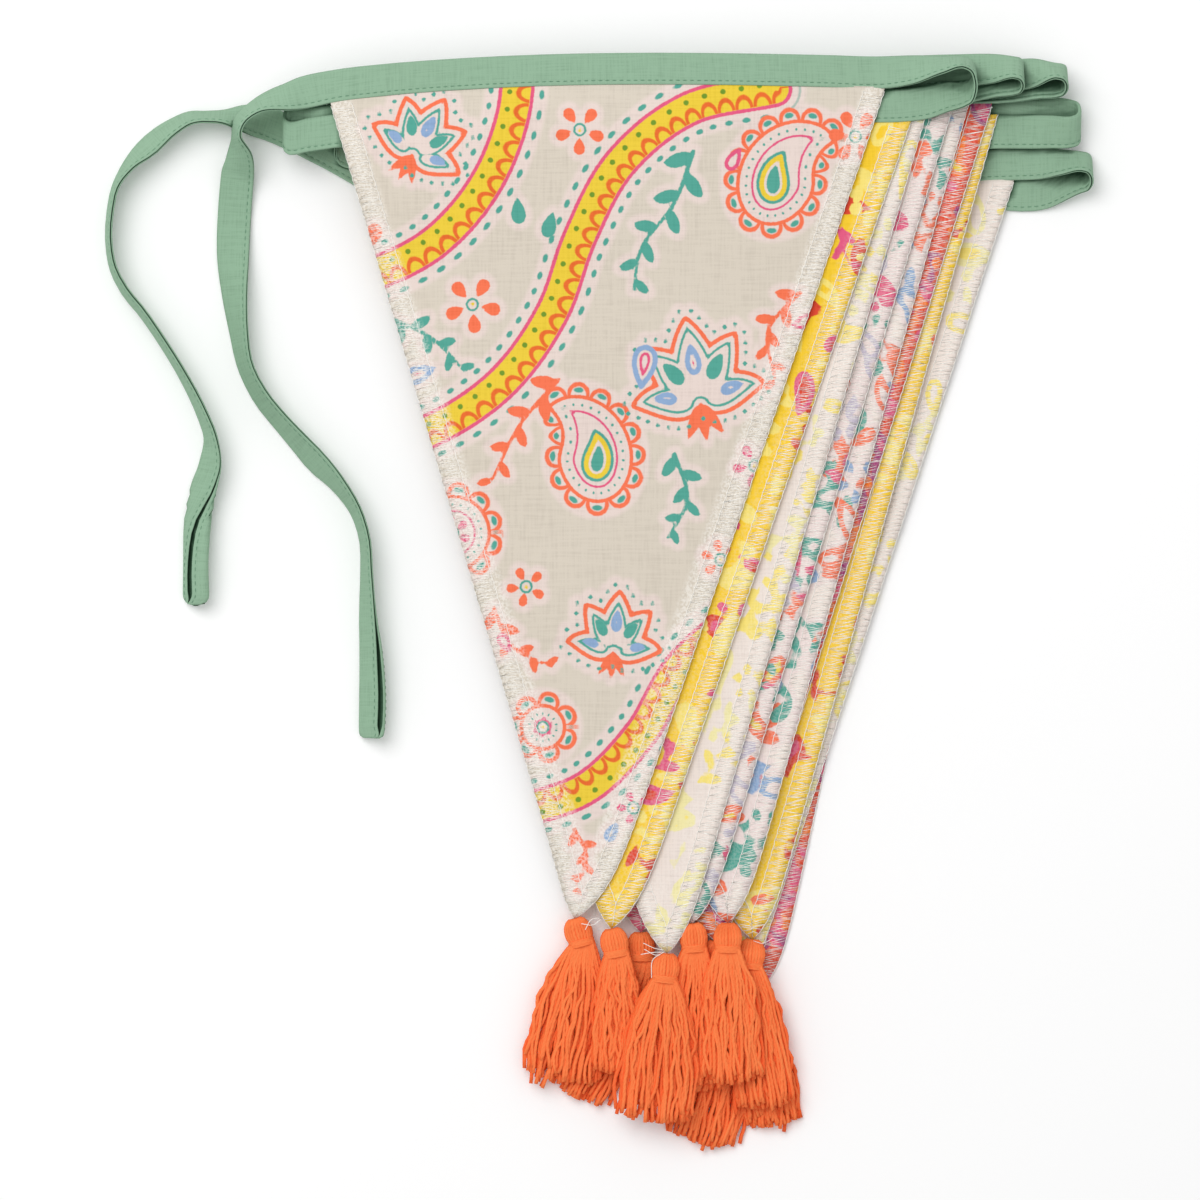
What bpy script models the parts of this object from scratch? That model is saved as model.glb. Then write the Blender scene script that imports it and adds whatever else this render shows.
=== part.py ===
"""Fabric bunting: ten pennant flags on a binding, folded flag over flag and lying flat with its ties spread out.

Lengths in the tables are millimetres as seen from above: x to the right, y up along the flags, z off the table.
"""

import math

import bmesh
import bpy
from mathutils import Vector

MM = 0.001

# Cloth
TAPE_WIDTH = 10.2
TAPE_THICK = 1.1
FLAG_THICK = 1.0
LAYER_STEP = 1.5  # from one layer of the stack to the next
DRAPE_REACH = 42.0  # a layer stops lifting the cloth above it this far outside its own edge
SEAM_GAP = 0.3  # between a flag's top edge and the binding, and between a tip and its tassel
FLAG_ROWS = 16
TIP_WIDTH = 4.5  # how much wider than a sharp triangle a flag is just above its tip
TIP_LENGTH = 6.0
HOOK_LENGTH = 9.0
ARCH_LEAN = 0.8  # below 1, a top edge's arch is highest left of its middle
PASS_SPANS = 10
TIE_CLEAR = 0.15
TIE_ROWS_UNDER = 5  # stations of the back tie that lie under the stack
DOWN = Vector((0.0, -1.0))  # towards the flags' tips
LEG_STEPS = (0.35, 0.7, 1.0)
ARC_ANGLES = (36, 72, 108, 144)

# One flag to a row. left and right are its top corners, tip its lower end. bow is how far its top edge arches up,
# hook how far its last centimetre leans over, layer its place in the stack from the top.
FLAG_COLUMNS = ("left", "right", "tip", "bow", "hook", "layer", "colour")
FLAG_TABLE = (
    ((-80.1, 147.6), (84.6, 151.8), (0.3, -95.1), 3.3, -3.9, 0, "taupe"),
    ((-71.7, 135.0), (92.4, 142.2), (7.2, -98.1), 1.5, -1.8, 1, "yellow"),
    ((-64.8, 138.9), (99.3, 152.4), (20.1, -105.6), 0.6, 0.0, 2, "cream"),
    ((-58.8, 140.4), (105.3, 147.6), (27.6, -96.6), 0.6, 0.0, 3, "cream"),
    ((-53.7, 138.0), (110.4, 150.0), (38.1, -96.6), 0.3, 0.0, 4, "cream"),
    ((-47.1, 142.5), (117.0, 147.9), (33.6, -102.3), 0.3, 0.6, 5, "coral"),
    ((-45.9, 138.0), (118.8, 145.2), (45.6, -101.7), 0.0, 0.0, 6, "yellow"),
    ((-67.5, 141.0), (96.9, 144.6), (12.3, -99.6), 0.0, 0.0, 8, "cream"),
    ((-40.5, 120.6), (123.9, 125.4), (40.2, -117.0), 0.0, 0.0, 9, "cream"),
    ((-58.5, 116.4), (105.0, 123.0), (48.0, -115.5), 0.0, 0.6, 10, "coral"),
)
FLIPPED_PASS = 6  # the seventh flag is turned down over its stretch of binding
FLIPPED_LAYER = 7
LAYERS = 11

# A turn of the binding from one pass to the next. reach is its far end; then come y, rise and tilt of the upper
# and the lower leg there, and flat, the share of a leg that stays flat. A positive tilt lifts the sewn edge.
TURN_COLUMNS = (
    "reach", "radius",
    "upper_y", "upper_rise", "upper_tilt", "upper_flat",
    "lower_y", "lower_rise", "lower_tilt", "lower_flat",
)
RIGHT_LOOPS = (
    (111.6, 3.0, 159.6, 4.9, 56, 0.0, 150.6, 2.4, 34, 0.4),
    (126.0, 2.3, 158.6, 3.2, 34, 0.5, 155.1, 1.0, 16, 0.0),
    (139.2, 2.7, 157.8, 4.2, 48, 0.55, 154.2, 1.5, 24, 0.0),
    (143.4, 2.2, 140.0, 2.6, -28, 0.3, 144.8, 0.8, -10, 0.0),
    (147.0, 2.8, 131.1, 4.3, 52, 0.1, 126.4, 2.4, 27, 0.65),
)
LEFT_FOLDS = (
    (-94.2, 0.7, 138.3, 0.0, 0, 0.0, 142.0, 0.0, 0, 0.0),
    (-81.0, 0.7, 144.6, 0.0, 0, 0.0, 145.0, 0.0, 0, 0.0),
    (-71.7, 1.4, 145.0, 0.0, 0, 0.0, 138.0, 0.0, 0, 0.0),
    (-79.2, 0.7, 142.0, 0.0, 0, 0.0, 136.0, 0.0, 0, 0.0),
)

# The ties, station by station. seen is the width of tape that shows from above: where it is less than the tape's
# own, the tape stands partly on its edge. carry is the share of the stack's height that holds it up.
TIE_COLUMNS = ("x", "y", "seen", "carry")
FRONT_TIE = (  # from its free end up to the first flag
    (-68.4, -40.8, 8.1, 0.0),
    (-68.1, -30.0, 8.4, 0.0),
    (-68.4, -18.0, 7.5, 0.0),
    (-69.6, -3.0, 5.7, 0.0),
    (-69.9, 9.0, 4.4, 0.0),
    (-70.4, 18.0, 4.1, 0.0),
    (-73.0, 26.4, 4.3, 0.0),
    (-78.6, 34.8, 5.6, 0.0),
    (-84.9, 41.4, 7.3, 0.0),
    (-90.0, 47.1, 6.6, 0.0),
    (-95.1, 52.8, 6.0, 0.0),
    (-101.4, 60.6, 5.8, 0.0),
    (-106.0, 69.6, 5.6, 0.0),
    (-108.2, 81.0, 6.6, 0.0),
    (-109.5, 93.0, 8.6, 0.0),
    (-110.0, 105.0, 10.1, 0.0),
    (-109.6, 116.0, 10.2, 0.2),
    (-108.8, 126.5, 9.8, 0.6),
    (-108.3, 133.4, 8.2, 0.9),
    (-108.2, 138.8, 6.2, 1.0),
    (-106.6, 143.4, 5.8, 1.0),
    (-104.0, 146.8, 5.8, 1.0),
    (-99.6, 149.4, 6.4, 1.0),
    (-93.9, 151.1, 8.2, 1.0),
    (-87.0, 152.3, 9.9, 1.0),
)
BACK_TIE = (  # from the last flag to its free end
    (-69.6, 127.8, 10.2, 0.0),
    (-78.0, 132.6, 10.2, 0.0),
    (-85.5, 136.5, 10.2, 0.0),
    (-93.0, 140.2, 10.2, 0.0),
    (-100.5, 143.2, 10.2, 0.0),
    (-107.4, 144.4, 8.6, 0.0),
    (-112.2, 144.6, 5.6, 0.0),
    (-117.0, 144.6, 4.6, 0.0),
    (-122.4, 144.3, 5.2, 0.0),
    (-128.4, 141.3, 6.2, 0.0),
    (-135.0, 135.9, 7.3, 0.0),
    (-141.0, 130.2, 5.0, 0.0),
    (-144.9, 123.9, 3.4, 0.0),
    (-146.7, 115.5, 3.1, 0.0),
    (-147.0, 106.5, 3.0, 0.0),
    (-145.6, 99.0, 3.1, 0.0),
    (-142.2, 92.4, 3.3, 0.0),
    (-137.1, 86.1, 3.3, 0.0),
    (-131.1, 77.4, 3.3, 0.0),
    (-124.5, 66.6, 3.6, 0.0),
    (-119.4, 56.4, 4.2, 0.0),
    (-116.6, 48.6, 5.0, 0.0),
    (-116.6, 41.4, 7.4, 0.0),
    (-118.8, 33.0, 8.7, 0.0),
    (-120.6, 22.5, 8.7, 0.0),
    (-121.0, 11.4, 8.0, 0.0),
    (-120.9, -0.3, 8.0, 0.0),
)

# Tassels: the middle of the head, the middle of the skirt's cut end and its width, and the height of the skirt's
# underside half way down and at its end.
HEAD_WIDTH = 8.0
HEAD_THICK = 4.0
NECK_WIDTH = 6.0
NECK_THICK = 3.0
HEAD_LENGTH = 8.4
HEAD_RINGS = (  # share of the head's length, width, thickness
    (0.0, 2.6, 1.6),
    (0.16, 6.0, 3.4),
    (0.5, HEAD_WIDTH, HEAD_THICK),
    (0.82, NECK_WIDTH, NECK_THICK),
    (1.0, 6.8, 3.2),
)
CORNER_PULL = 0.22
STRANDS_ACROSS = 11
STRANDS_DEEP = 2
STRAND_SPANS = 3
STRAND_FILL = 0.72  # a strand's width as a share of its pitch at the cut end
STRAND_THICK = 0.95
STRAND_RAGGED = 0.05
RAGGED_TURN = 23.0
RAGGED_SHIFT = 5.0  # turns the ragged ends of the lower strands against those of the upper ones
KNEE_AT = 0.4
KNEE_SPREAD = 0.34
HEAD_RISE = 2.0  # a head comes to the height of its neck in 1 / HEAD_RISE of its length
SKIRT_FALL = 2.2  # and a skirt comes to rest in 1 / SKIRT_FALL of its own
STRAND_PITCH = 1.25  # between the upper and the lower strands at the cut end
ROOT_INSET = 0.07
TASSEL_COLUMNS = ("head", "end", "width", "mid_z", "end_z")
TASSEL_TABLE = (
    ((-6.6, -98.9), (-12.4, -144.6), 24.6, 2.6, 2.6),
    ((4.2, -101.9), (5.2, -141.8), 16.5, 5.2, 5.1),
    ((19.6, -109.9), (16.2, -156.2), 25.5, 9.6, 7.6),
    ((27.9, -100.3), (26.4, -145.0), 19.5, 7.2, 5.3),
    ((38.1, -100.2), (39.6, -144.8), 19.2, 9.6, 7.8),
    ((33.7, -106.7), (26.0, -147.0), 16.5, 3.6, 2.8),
    ((45.2, -105.6), (49.8, -152.4), 18.6, 5.6, 4.2),
    ((12.3, -103.9), (-8.7, -148.8), 24.0, 0.0, 0.0),
    ((39.7, -121.1), (30.6, -163.4), 22.5, 0.0, 0.0),
    ((48.0, -119.6), (52.0, -158.0), 18.6, 0.0, 0.0),
)

COLOURS = {  # sRGB
    "sage": (140, 182, 152),
    "taupe": (214, 205, 190),
    "yellow": (250, 210, 50),
    "cream": (238, 222, 215),
    "coral": (240, 110, 90),
    "orange": (255, 105, 45),
}
CLOTH_ROUGHNESS = 0.85


def named(columns, table):
    """Each row of a table as a dictionary of its columns."""
    return [dict(zip(columns, row)) for row in table]


FLAGS = named(FLAG_COLUMNS, FLAG_TABLE)
LOOPS = named(TURN_COLUMNS, RIGHT_LOOPS)
FOLDS = named(TURN_COLUMNS, LEFT_FOLDS)
TASSELS = named(TASSEL_COLUMNS, TASSEL_TABLE)


# ---------------------------------------------------------------- plain geometry

def smooth(t):
    """0 to 1 with flat ends."""
    t = min(max(t, 0.0), 1.0)
    return t * t * (3.0 - 2.0 * t)


def lerp(a, b, t):
    return a + (b - a) * t


def distance_to_segment(point, a, b):
    along = b - a
    share = min(max((point - a).dot(along) / along.length_squared, 0.0), 1.0)
    return (point - a - along * share).length


def distance_to_triangle(point, corners):
    """0 inside, else the distance to the nearest side."""
    sides = [(corners[i], corners[(i + 1) % 3]) for i in range(3)]
    turns = [(b - a).cross(point - a) for a, b in sides]
    if min(turns) >= 0.0 or max(turns) <= 0.0:
        return 0.0
    return min(distance_to_segment(point, a, b) for a, b in sides)


# ---------------------------------------------------------------- where the flags and the binding lie

def top_edge(flag, share):
    """Point of a flag's top edge, from its left corner (0) to its right one (1), and the direction up from it."""
    left, right = Vector(flag["left"]), Vector(flag["right"])
    along = right - left
    up = Vector((-along.y, along.x)).normalized()
    arch = flag["bow"] * math.sin(math.pi * share ** ARCH_LEAN)
    return left + along * share + up * arch, up


def tape_centre(index, share):
    """Middle of the binding beside a flag's top edge."""
    point, up = top_edge(FLAGS[index], share)
    side = -TAPE_WIDTH / 2 if index == FLIPPED_PASS else TAPE_WIDTH / 2 + SEAM_GAP
    return point + up * side, up


def turn_after(index):
    """The turn that follows a pass: loops at the right after even ones, folds at the left after odd ones."""
    return LOOPS[index // 2] if index % 2 == 0 else FOLDS[index // 2]


def band_line(index):
    """The middle line of one pass of binding, with the ends of its turns."""
    line = [tape_centre(index, 0.0)[0], tape_centre(index, 1.0)[0]]
    ends = []
    if index > 0:
        before = turn_after(index - 1)
        ends.append(Vector((before["reach"], before["lower_y"])))
    if index < len(FLAGS) - 1:
        after = turn_after(index)
        ends.append(Vector((after["reach"], after["upper_y"])))
    for end in ends:
        if end.x < line[0].x:
            line.insert(0, end)
        else:
            line.append(end)
    if index == len(FLAGS) - 1:
        line = [Vector(row[:2]) for row in reversed(BACK_TIE[:TIE_ROWS_UNDER])] + line
    return line


def pass_layer(index):
    return FLIPPED_LAYER if index == FLIPPED_PASS else FLAGS[index]["layer"]


def stack_layers():
    """What lies in each layer of the stack: the corners of a flag and the line of a pass of binding."""
    layers = [{"flag": None, "band": None} for _ in range(LAYERS)]
    for index, flag in enumerate(FLAGS):
        layers[flag["layer"]]["flag"] = [Vector(flag[key]) for key in ("left", "right", "tip")]
        layers[pass_layer(index)]["band"] = band_line(index)
    return layers


STACK = stack_layers()


def cover(layer, point):
    """1 over a layer's own cloth, easing to 0 at DRAPE_REACH from it."""
    bare = 1.0
    if layer["flag"]:
        bare *= smooth((distance_to_triangle(point, layer["flag"]) - TIP_WIDTH) / DRAPE_REACH)
    if layer["band"]:
        line = layer["band"]
        nearest = min(distance_to_segment(point, a, b) for a, b in zip(line, line[1:]))
        bare *= smooth((nearest - TAPE_WIDTH / 2) / DRAPE_REACH)
    return 1.0 - bare


def lift(layer, x, y):
    """Height that the layers beneath give to this one."""
    point = Vector((x, y))
    return LAYER_STEP * sum(cover(below, point) for below in STACK[layer + 1:])


# ---------------------------------------------------------------- the scene

def clear_scene():
    for thing in list(bpy.data.objects):
        bpy.data.objects.remove(thing, do_unlink=True)


def make_material(name, srgb):
    linear = [((c / 255 + 0.055) / 1.055) ** 2.4 if c > 10 else c / 255 / 12.92 for c in srgb]
    material = bpy.data.materials.new(name)
    material.use_nodes = True
    shader = material.node_tree.nodes["Principled BSDF"]
    shader.inputs["Base Color"].default_value = (*linear, 1.0)
    shader.inputs["Roughness"].default_value = CLOTH_ROUGHNESS
    shader.inputs["Metallic"].default_value = 0.0
    return material


def add_piece(name, bm, colour, collection, materials):
    """A finished bmesh, in millimetres, as an object in metres."""
    bmesh.ops.recalc_face_normals(bm, faces=bm.faces)
    if bm.calc_volume(signed=True) < 0.0:
        bmesh.ops.reverse_faces(bm, faces=bm.faces)
    bmesh.ops.scale(bm, verts=bm.verts, vec=(MM, MM, MM))
    mesh = bpy.data.meshes.new(name)
    bm.to_mesh(mesh)
    bm.free()
    mesh.materials.append(materials[colour])
    piece = bpy.data.objects.new(name, mesh)
    collection.objects.link(piece)
    return piece


def thicken(piece, thickness):
    """Gives an open sheet its thickness, half to each side."""
    solid = piece.modifiers.new("Thickness", "SOLIDIFY")
    solid.thickness = thickness * MM
    solid.offset = 0.0


# ---------------------------------------------------------------- flags

def flag_outline(flag, across, up):
    """Point of a flag in plan: across from -1 to 1, up from 0 at the tip to 1 at the top edge."""
    top, _ = top_edge(flag, (across + 1.0) / 2)
    middle = (Vector(flag["left"]) + Vector(flag["right"])) / 2
    tip = Vector(flag["tip"])
    drop = (middle - tip).length
    height = up * drop
    along = (Vector(flag["right"]) - Vector(flag["left"])).normalized()
    extra = TIP_WIDTH * (1.0 - math.exp(-height / TIP_LENGTH)) * (1.0 - up)
    hook = flag["hook"] * math.exp(-height / HOOK_LENGTH)
    return lerp(tip, top, up) + along * (across * extra + hook)


def build_flag(index, collection, materials):
    """A triangle of cloth, subdivided evenly and laid over the layers beneath it."""
    flag = FLAGS[index]
    bm = bmesh.new()
    corners = [bm.verts.new(place) for place in ((-1, 1, 0), (1, 1, 0), (0, 0, 0))]
    bm.faces.new(corners)
    bmesh.ops.subdivide_edges(bm, edges=bm.edges, cuts=FLAG_ROWS - 1, use_grid_fill=True)
    bmesh.ops.triangulate(bm, faces=bm.faces)
    for vert in bm.verts:
        up = vert.co.y
        across = vert.co.x / up if up > 1e-6 else 0.0
        place = flag_outline(flag, across, up)
        vert.co = (place.x, place.y, TAPE_THICK / 2 + lift(flag["layer"], place.x, place.y))
    piece = add_piece(f"flag_{index + 1:02d}", bm, flag["colour"], collection, materials)
    thicken(piece, FLAG_THICK)


# ---------------------------------------------------------------- binding

def station(place, z, tilt, edge):
    """One section of the tape: its middle, and the direction of its sewn edge, which tilt lifts off the table."""
    flat = math.cos(tilt)
    return Vector((place.x, place.y, z)), Vector((edge.x * flat, edge.y * flat, math.sin(tilt)))


def on_stack(layer, place, edge):
    """Height at which a layer carries the tape, and the slope across the tape there."""
    half = edge * (TAPE_WIDTH / 2)
    far, near = lift(layer, *(place - half)), lift(layer, *(place + half))
    return (far + near) / 2, math.atan2(near - far, TAPE_WIDTH)


def pass_stations(index):
    """The binding along one flag's top edge, left to right."""
    stations = []
    for step in range(PASS_SPANS + 1):
        place, up = tape_centre(index, step / PASS_SPANS)
        height, slope = on_stack(pass_layer(index), place, -up)
        stations.append(station(place, TAPE_THICK / 2 + height, slope, -up))
    return stations


def leg_rows(start, turn, leg, layer, outward):
    """From the end of a pass to where the tape starts to turn round, rising and tilting on the way."""
    flat = turn[leg + "_flat"]
    end = Vector((turn["reach"] - outward * turn["radius"], turn[leg + "_y"]))
    rows = []
    for share in LEG_STEPS:
        eased = smooth((share - flat) / (1.0 - flat))
        place = Vector((lerp(start.x, end.x, share), lerp(start.y, end.y, smooth(share))))
        height, slope = on_stack(layer, place, DOWN)
        z = TAPE_THICK / 2 + height + turn[leg + "_rise"] * eased
        rows.append((place.x, place.y, z, slope + math.radians(turn[leg + "_tilt"]) * eased))
    return rows


def turn_stations(index):
    """The binding between one pass and the next: upper leg, half circle, lower leg."""
    turn = turn_after(index)
    share, outward = (1.0, 1.0) if index % 2 == 0 else (0.0, -1.0)
    upper = leg_rows(tape_centre(index, share)[0], turn, "upper", pass_layer(index), outward)
    lower = leg_rows(tape_centre(index + 1, share)[0], turn, "lower", pass_layer(index + 1), outward)
    arc = []
    for angle in map(math.radians, ARC_ANGLES):
        blend = (1.0 - math.cos(angle)) / 2
        x, y, z, tilt = (lerp(a, b, blend) for a, b in zip(upper[-1], lower[-1]))
        arc.append((x + outward * turn["radius"] * math.sin(angle), y, z, tilt))
    return [station(Vector(row[:2]), row[2], row[3], DOWN) for row in upper + arc + lower[::-1]]


def seen_tilt(seen):
    """The tilt at which the tape looks so wide from above."""
    upright = math.sqrt(1.0 - min(seen / TAPE_WIDTH, 1.0) ** 2)
    return math.acos(min((seen - TAPE_THICK * upright) / TAPE_WIDTH, 1.0))


def tie_stations(table, layer, hand):
    """A tie, station by station. hand is 1 where its sewn edge is on the right of its run, -1 on the left."""
    rows = named(TIE_COLUMNS, table)
    places = [Vector((row["x"], row["y"])) for row in rows]
    stations = []
    for step, row in enumerate(rows):
        run = (places[min(step + 1, len(rows) - 1)] - places[max(step - 1, 0)]).normalized()
        edge = Vector((run.y, -run.x)) * hand
        height, slope = on_stack(layer, places[step], edge)
        tilt = seen_tilt(row["seen"])
        rest = (TAPE_WIDTH * math.sin(tilt) + TAPE_THICK * math.cos(tilt)) / 2 + TIE_CLEAR
        z = rest + row["carry"] * height
        stations.append(station(places[step], z, tilt + row["carry"] * slope, edge))
    return stations


def header_stations():
    """The whole binding in one run: a tie, ten passes with nine turns between them, and the other tie."""
    stations = tie_stations(FRONT_TIE, 0, 1)
    for index in range(len(FLAGS)):
        run = pass_stations(index)
        stations += run if index % 2 == 0 else run[::-1]
        if index < len(FLAGS) - 1:
            stations += turn_stations(index)
    return stations + tie_stations(BACK_TIE, LAYERS - 1, -1)


def build_header(collection, materials):
    """The folded tape: one edge drawn along its stations, then thickened."""
    bm = bmesh.new()
    ends = None
    for middle, edge in header_stations():
        half = edge * (TAPE_WIDTH / 2)
        pair = [bm.verts.new(middle - half), bm.verts.new(middle + half)]
        if ends:
            bm.faces.new((ends[0], pair[0], pair[1], ends[1]))
        ends = pair
    piece = add_piece("header", bm, "sage", collection, materials)
    thicken(piece, TAPE_THICK)


# ---------------------------------------------------------------- tassels

def oval(a, b, width, thick):
    """A point of a square of -1 to 1 with its corners drawn in, so that a grid of cells fills a rounded section."""
    x = a * math.sqrt(1.0 - CORNER_PULL * b * b)
    z = b * math.sqrt(1.0 - CORNER_PULL * a * a)
    return x * width / 2, z * thick / 2


def tassel_axes(index):
    """Where a tassel starts, which way its head and its skirt run, and the heights of its start and its neck."""
    tassel, flag = TASSELS[index], FLAGS[index]
    tip = flag_outline(flag, 0.0, 0.0)
    down = (Vector(tassel["head"]) - tip).normalized()
    tip += down * SEAM_GAP
    root = tip + down * HEAD_LENGTH
    fall = Vector(tassel["end"]) - root
    return {
        "tip": tip,
        "down": down,
        "side": Vector((-down.y, down.x)),
        "root": root,
        "fall": fall,
        "across": Vector((-fall.y, fall.x)).normalized(),
        "tip_z": TAPE_THICK / 2 + lift(flag["layer"], tip.x, tip.y),
        "neck_z": max(tassel["mid_z"] + STRAND_PITCH, HEAD_THICK / 2),
    }


def build_head(bm, axes, marks):
    """The wrapped head and neck, grown ring by ring from the grid of cells that the strands leave."""
    faces = list(bm.faces)
    verts = list(bm.verts)
    for step, (share, width, thick) in enumerate(reversed(HEAD_RINGS)):
        if step:
            grown = bmesh.ops.extrude_face_region(bm, geom=faces, use_keep_orig=True)["geom"]
            if step > 1:
                bmesh.ops.delete(bm, geom=faces, context="FACES")
            faces = [part for part in grown if isinstance(part, bmesh.types.BMFace)]
            verts = [part for part in grown if isinstance(part, bmesh.types.BMVert)]
        middle = axes["tip"] + axes["down"] * (share * HEAD_LENGTH)
        z = max(lerp(axes["tip_z"], axes["neck_z"], smooth(share * HEAD_RISE)), thick / 2)
        for vert in verts:
            x, rise = oval(vert[marks[0]], vert[marks[1]], width, thick)
            place = middle + axes["side"] * x
            vert.co = (place.x, place.y, z + rise)
    bmesh.ops.dissolve_faces(bm, faces=faces)


def strand_centre(tassel, axes, a, b, share):
    """Middle of a strand: from its cell at the neck, over the skirt's shoulder, to its cut end."""
    x, rise = oval(a, b, *HEAD_RINGS[-1][1:])
    start = axes["root"] + axes["side"] * x
    knee = axes["root"] + axes["fall"] * KNEE_AT + axes["across"] * (a * tassel["width"] * KNEE_SPREAD)
    trim = 1.0 - STRAND_RAGGED * (0.5 + 0.5 * math.sin(a * RAGGED_TURN + b * RAGGED_SHIFT))
    finish = axes["root"] + axes["fall"] * trim + axes["across"] * (a * tassel["width"] / 2)
    place = lerp(lerp(start, knee, share), lerp(knee, finish, share), share)
    row = b + 0.5
    lying = lerp(tassel["mid_z"], tassel["end_z"], share) + STRAND_THICK / 2 + row * STRAND_PITCH
    return Vector((place.x, place.y, lerp(axes["neck_z"] + rise, lying, smooth(share * SKIRT_FALL))))


def grow_strand(bm, face, tassel, axes, a, b):
    """Draws one cell of the neck out to a strand of four sides."""
    across = axes["across"].to_3d()
    root_width = HEAD_RINGS[-1][1] / STRANDS_ACROSS - 2 * ROOT_INSET
    for step in range(1, STRAND_SPANS + 1):
        share = step / STRAND_SPANS
        face = bmesh.ops.extrude_discrete_faces(bm, faces=[face])["faces"][0]
        centre = face.calc_center_median()
        signs = [((vert.co - centre).dot(across) > 0.0, vert.co.z > centre.z) for vert in face.verts]
        middle = strand_centre(tassel, axes, a, b, share)
        half_width = lerp(root_width, tassel["width"] / STRANDS_ACROSS * STRAND_FILL, share) / 2
        for vert, (right, upper) in zip(face.verts, signs):
            vert.co = middle + across * (half_width if right else -half_width)
            vert.co.z += STRAND_THICK / 2 if upper else -STRAND_THICK / 2


def build_tassel(index, collection, materials):
    """Head, neck and skirt in one body: each strand grows out of its own cell at the neck."""
    tassel, axes = TASSELS[index], tassel_axes(index)
    bm = bmesh.new()
    marks = [bm.verts.layers.float.new(name) for name in ("across", "deep")]
    bmesh.ops.create_grid(bm, x_segments=STRANDS_ACROSS, y_segments=STRANDS_DEEP, size=1.0)
    for vert in bm.verts:
        vert[marks[0]], vert[marks[1]] = vert.co.x, vert.co.y
    cells = [(face, *face.calc_center_median().xy) for face in bm.faces]
    build_head(bm, axes, marks)
    bmesh.ops.recalc_face_normals(bm, faces=bm.faces)
    bmesh.ops.inset_individual(bm, faces=[cell[0] for cell in cells], thickness=ROOT_INSET)
    for face, a, b in cells:
        grow_strand(bm, face, tassel, axes, a, b)
    add_piece(f"tassel_{index + 1:02d}", bm, "orange", collection, materials)


def main():
    clear_scene()
    collection = bpy.data.collections.new("fabric_bunting")
    bpy.context.scene.collection.children.link(collection)
    materials = {name: make_material(name, srgb) for name, srgb in COLOURS.items()}
    build_header(collection, materials)
    for index in range(len(FLAGS)):
        build_flag(index, collection, materials)
        build_tassel(index, collection, materials)


main()
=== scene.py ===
"""Looks of the fabric bunting: printed flags, overlocked edges, a folded and stitched binding, yarn tassels.

Lengths are millimetres: x to the right, y up along the flags, z off the table.
"""

import math

import bpy
import numpy as np
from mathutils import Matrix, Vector
from mathutils.bvhtree import BVHTree


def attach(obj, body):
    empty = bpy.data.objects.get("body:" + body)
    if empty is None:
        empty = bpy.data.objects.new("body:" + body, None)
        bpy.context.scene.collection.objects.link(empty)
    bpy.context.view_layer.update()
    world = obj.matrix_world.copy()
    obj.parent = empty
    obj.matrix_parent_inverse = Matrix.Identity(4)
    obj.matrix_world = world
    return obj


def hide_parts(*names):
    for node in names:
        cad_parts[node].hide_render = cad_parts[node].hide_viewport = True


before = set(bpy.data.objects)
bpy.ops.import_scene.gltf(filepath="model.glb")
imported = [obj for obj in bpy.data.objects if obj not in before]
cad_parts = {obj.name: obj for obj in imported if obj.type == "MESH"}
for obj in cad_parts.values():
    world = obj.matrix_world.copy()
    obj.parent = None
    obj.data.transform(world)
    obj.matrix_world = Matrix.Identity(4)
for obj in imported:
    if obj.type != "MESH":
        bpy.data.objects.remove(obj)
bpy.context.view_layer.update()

MM = 0.001
TINY = 1e-9
BODY = "root"
UP = (0.0, 0.0, 1.0)
DOWN = np.array([0.0, -1.0])  # in plan, towards the flags' tips

# Picture; sizes of the floor and the lamp are metres
PHOTO_WIDTH = 360.0  # of the table that the photograph shows
LENS = 200.0
SENSOR = 36.0
FLOOR_SIZE = 4.0
FLOOR_DROP = 0.0002
LAMP_SIZE = 1.2
LAMP_POWER = 11.2
LAMP_PLACE = (-0.5, 0.6, 1.3)
LAMP_TURN = (-24.0, -21.0, 0.0)  # degrees
SKY_STRENGTH = 0.68

# Cloth: the solids' own sizes, then the finer ones of the real cloth
TAPE_WIDTH = 10.2
TAPE_THICK = 1.1
LAYER_STEP = 1.5
DRAPE_REACH = 42.0
SEAM_GAP = 0.3
TIP_WIDTH = 4.5
TIP_LENGTH = 6.0
HOOK_LENGTH = 9.0
ARCH_LEAN = 0.8
PASS_SPANS = 10
TIE_CLEAR = 0.15
TIE_ROWS_UNDER = 5  # stations of the back tie that lie under the stack
LEG_STEPS = (0.35, 0.7, 1.0)
ARC_ANGLES = (36, 72, 108, 144)
CLOTH_THICK = 0.4
TUCK = 1.0  # how far a flag's top edge goes up inside the binding
FRONT_ROWS = 210
FLAG_ROWS = 100
RIPPLE = 0.22  # height of the cloth's own gentle waves
RIPPLE_LENGTHS = (67.0, 41.0, 29.0)
RIPPLE_HEADING = (0.4, 1.9, 0.7)  # the first one, then what each wave and each flag adds
RIPPLE_PHASE = 2.1  # from flag to flag
RIPPLE_EASE = (8.0, 6.0)  # how fast they die out at the binding and at the tip

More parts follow.
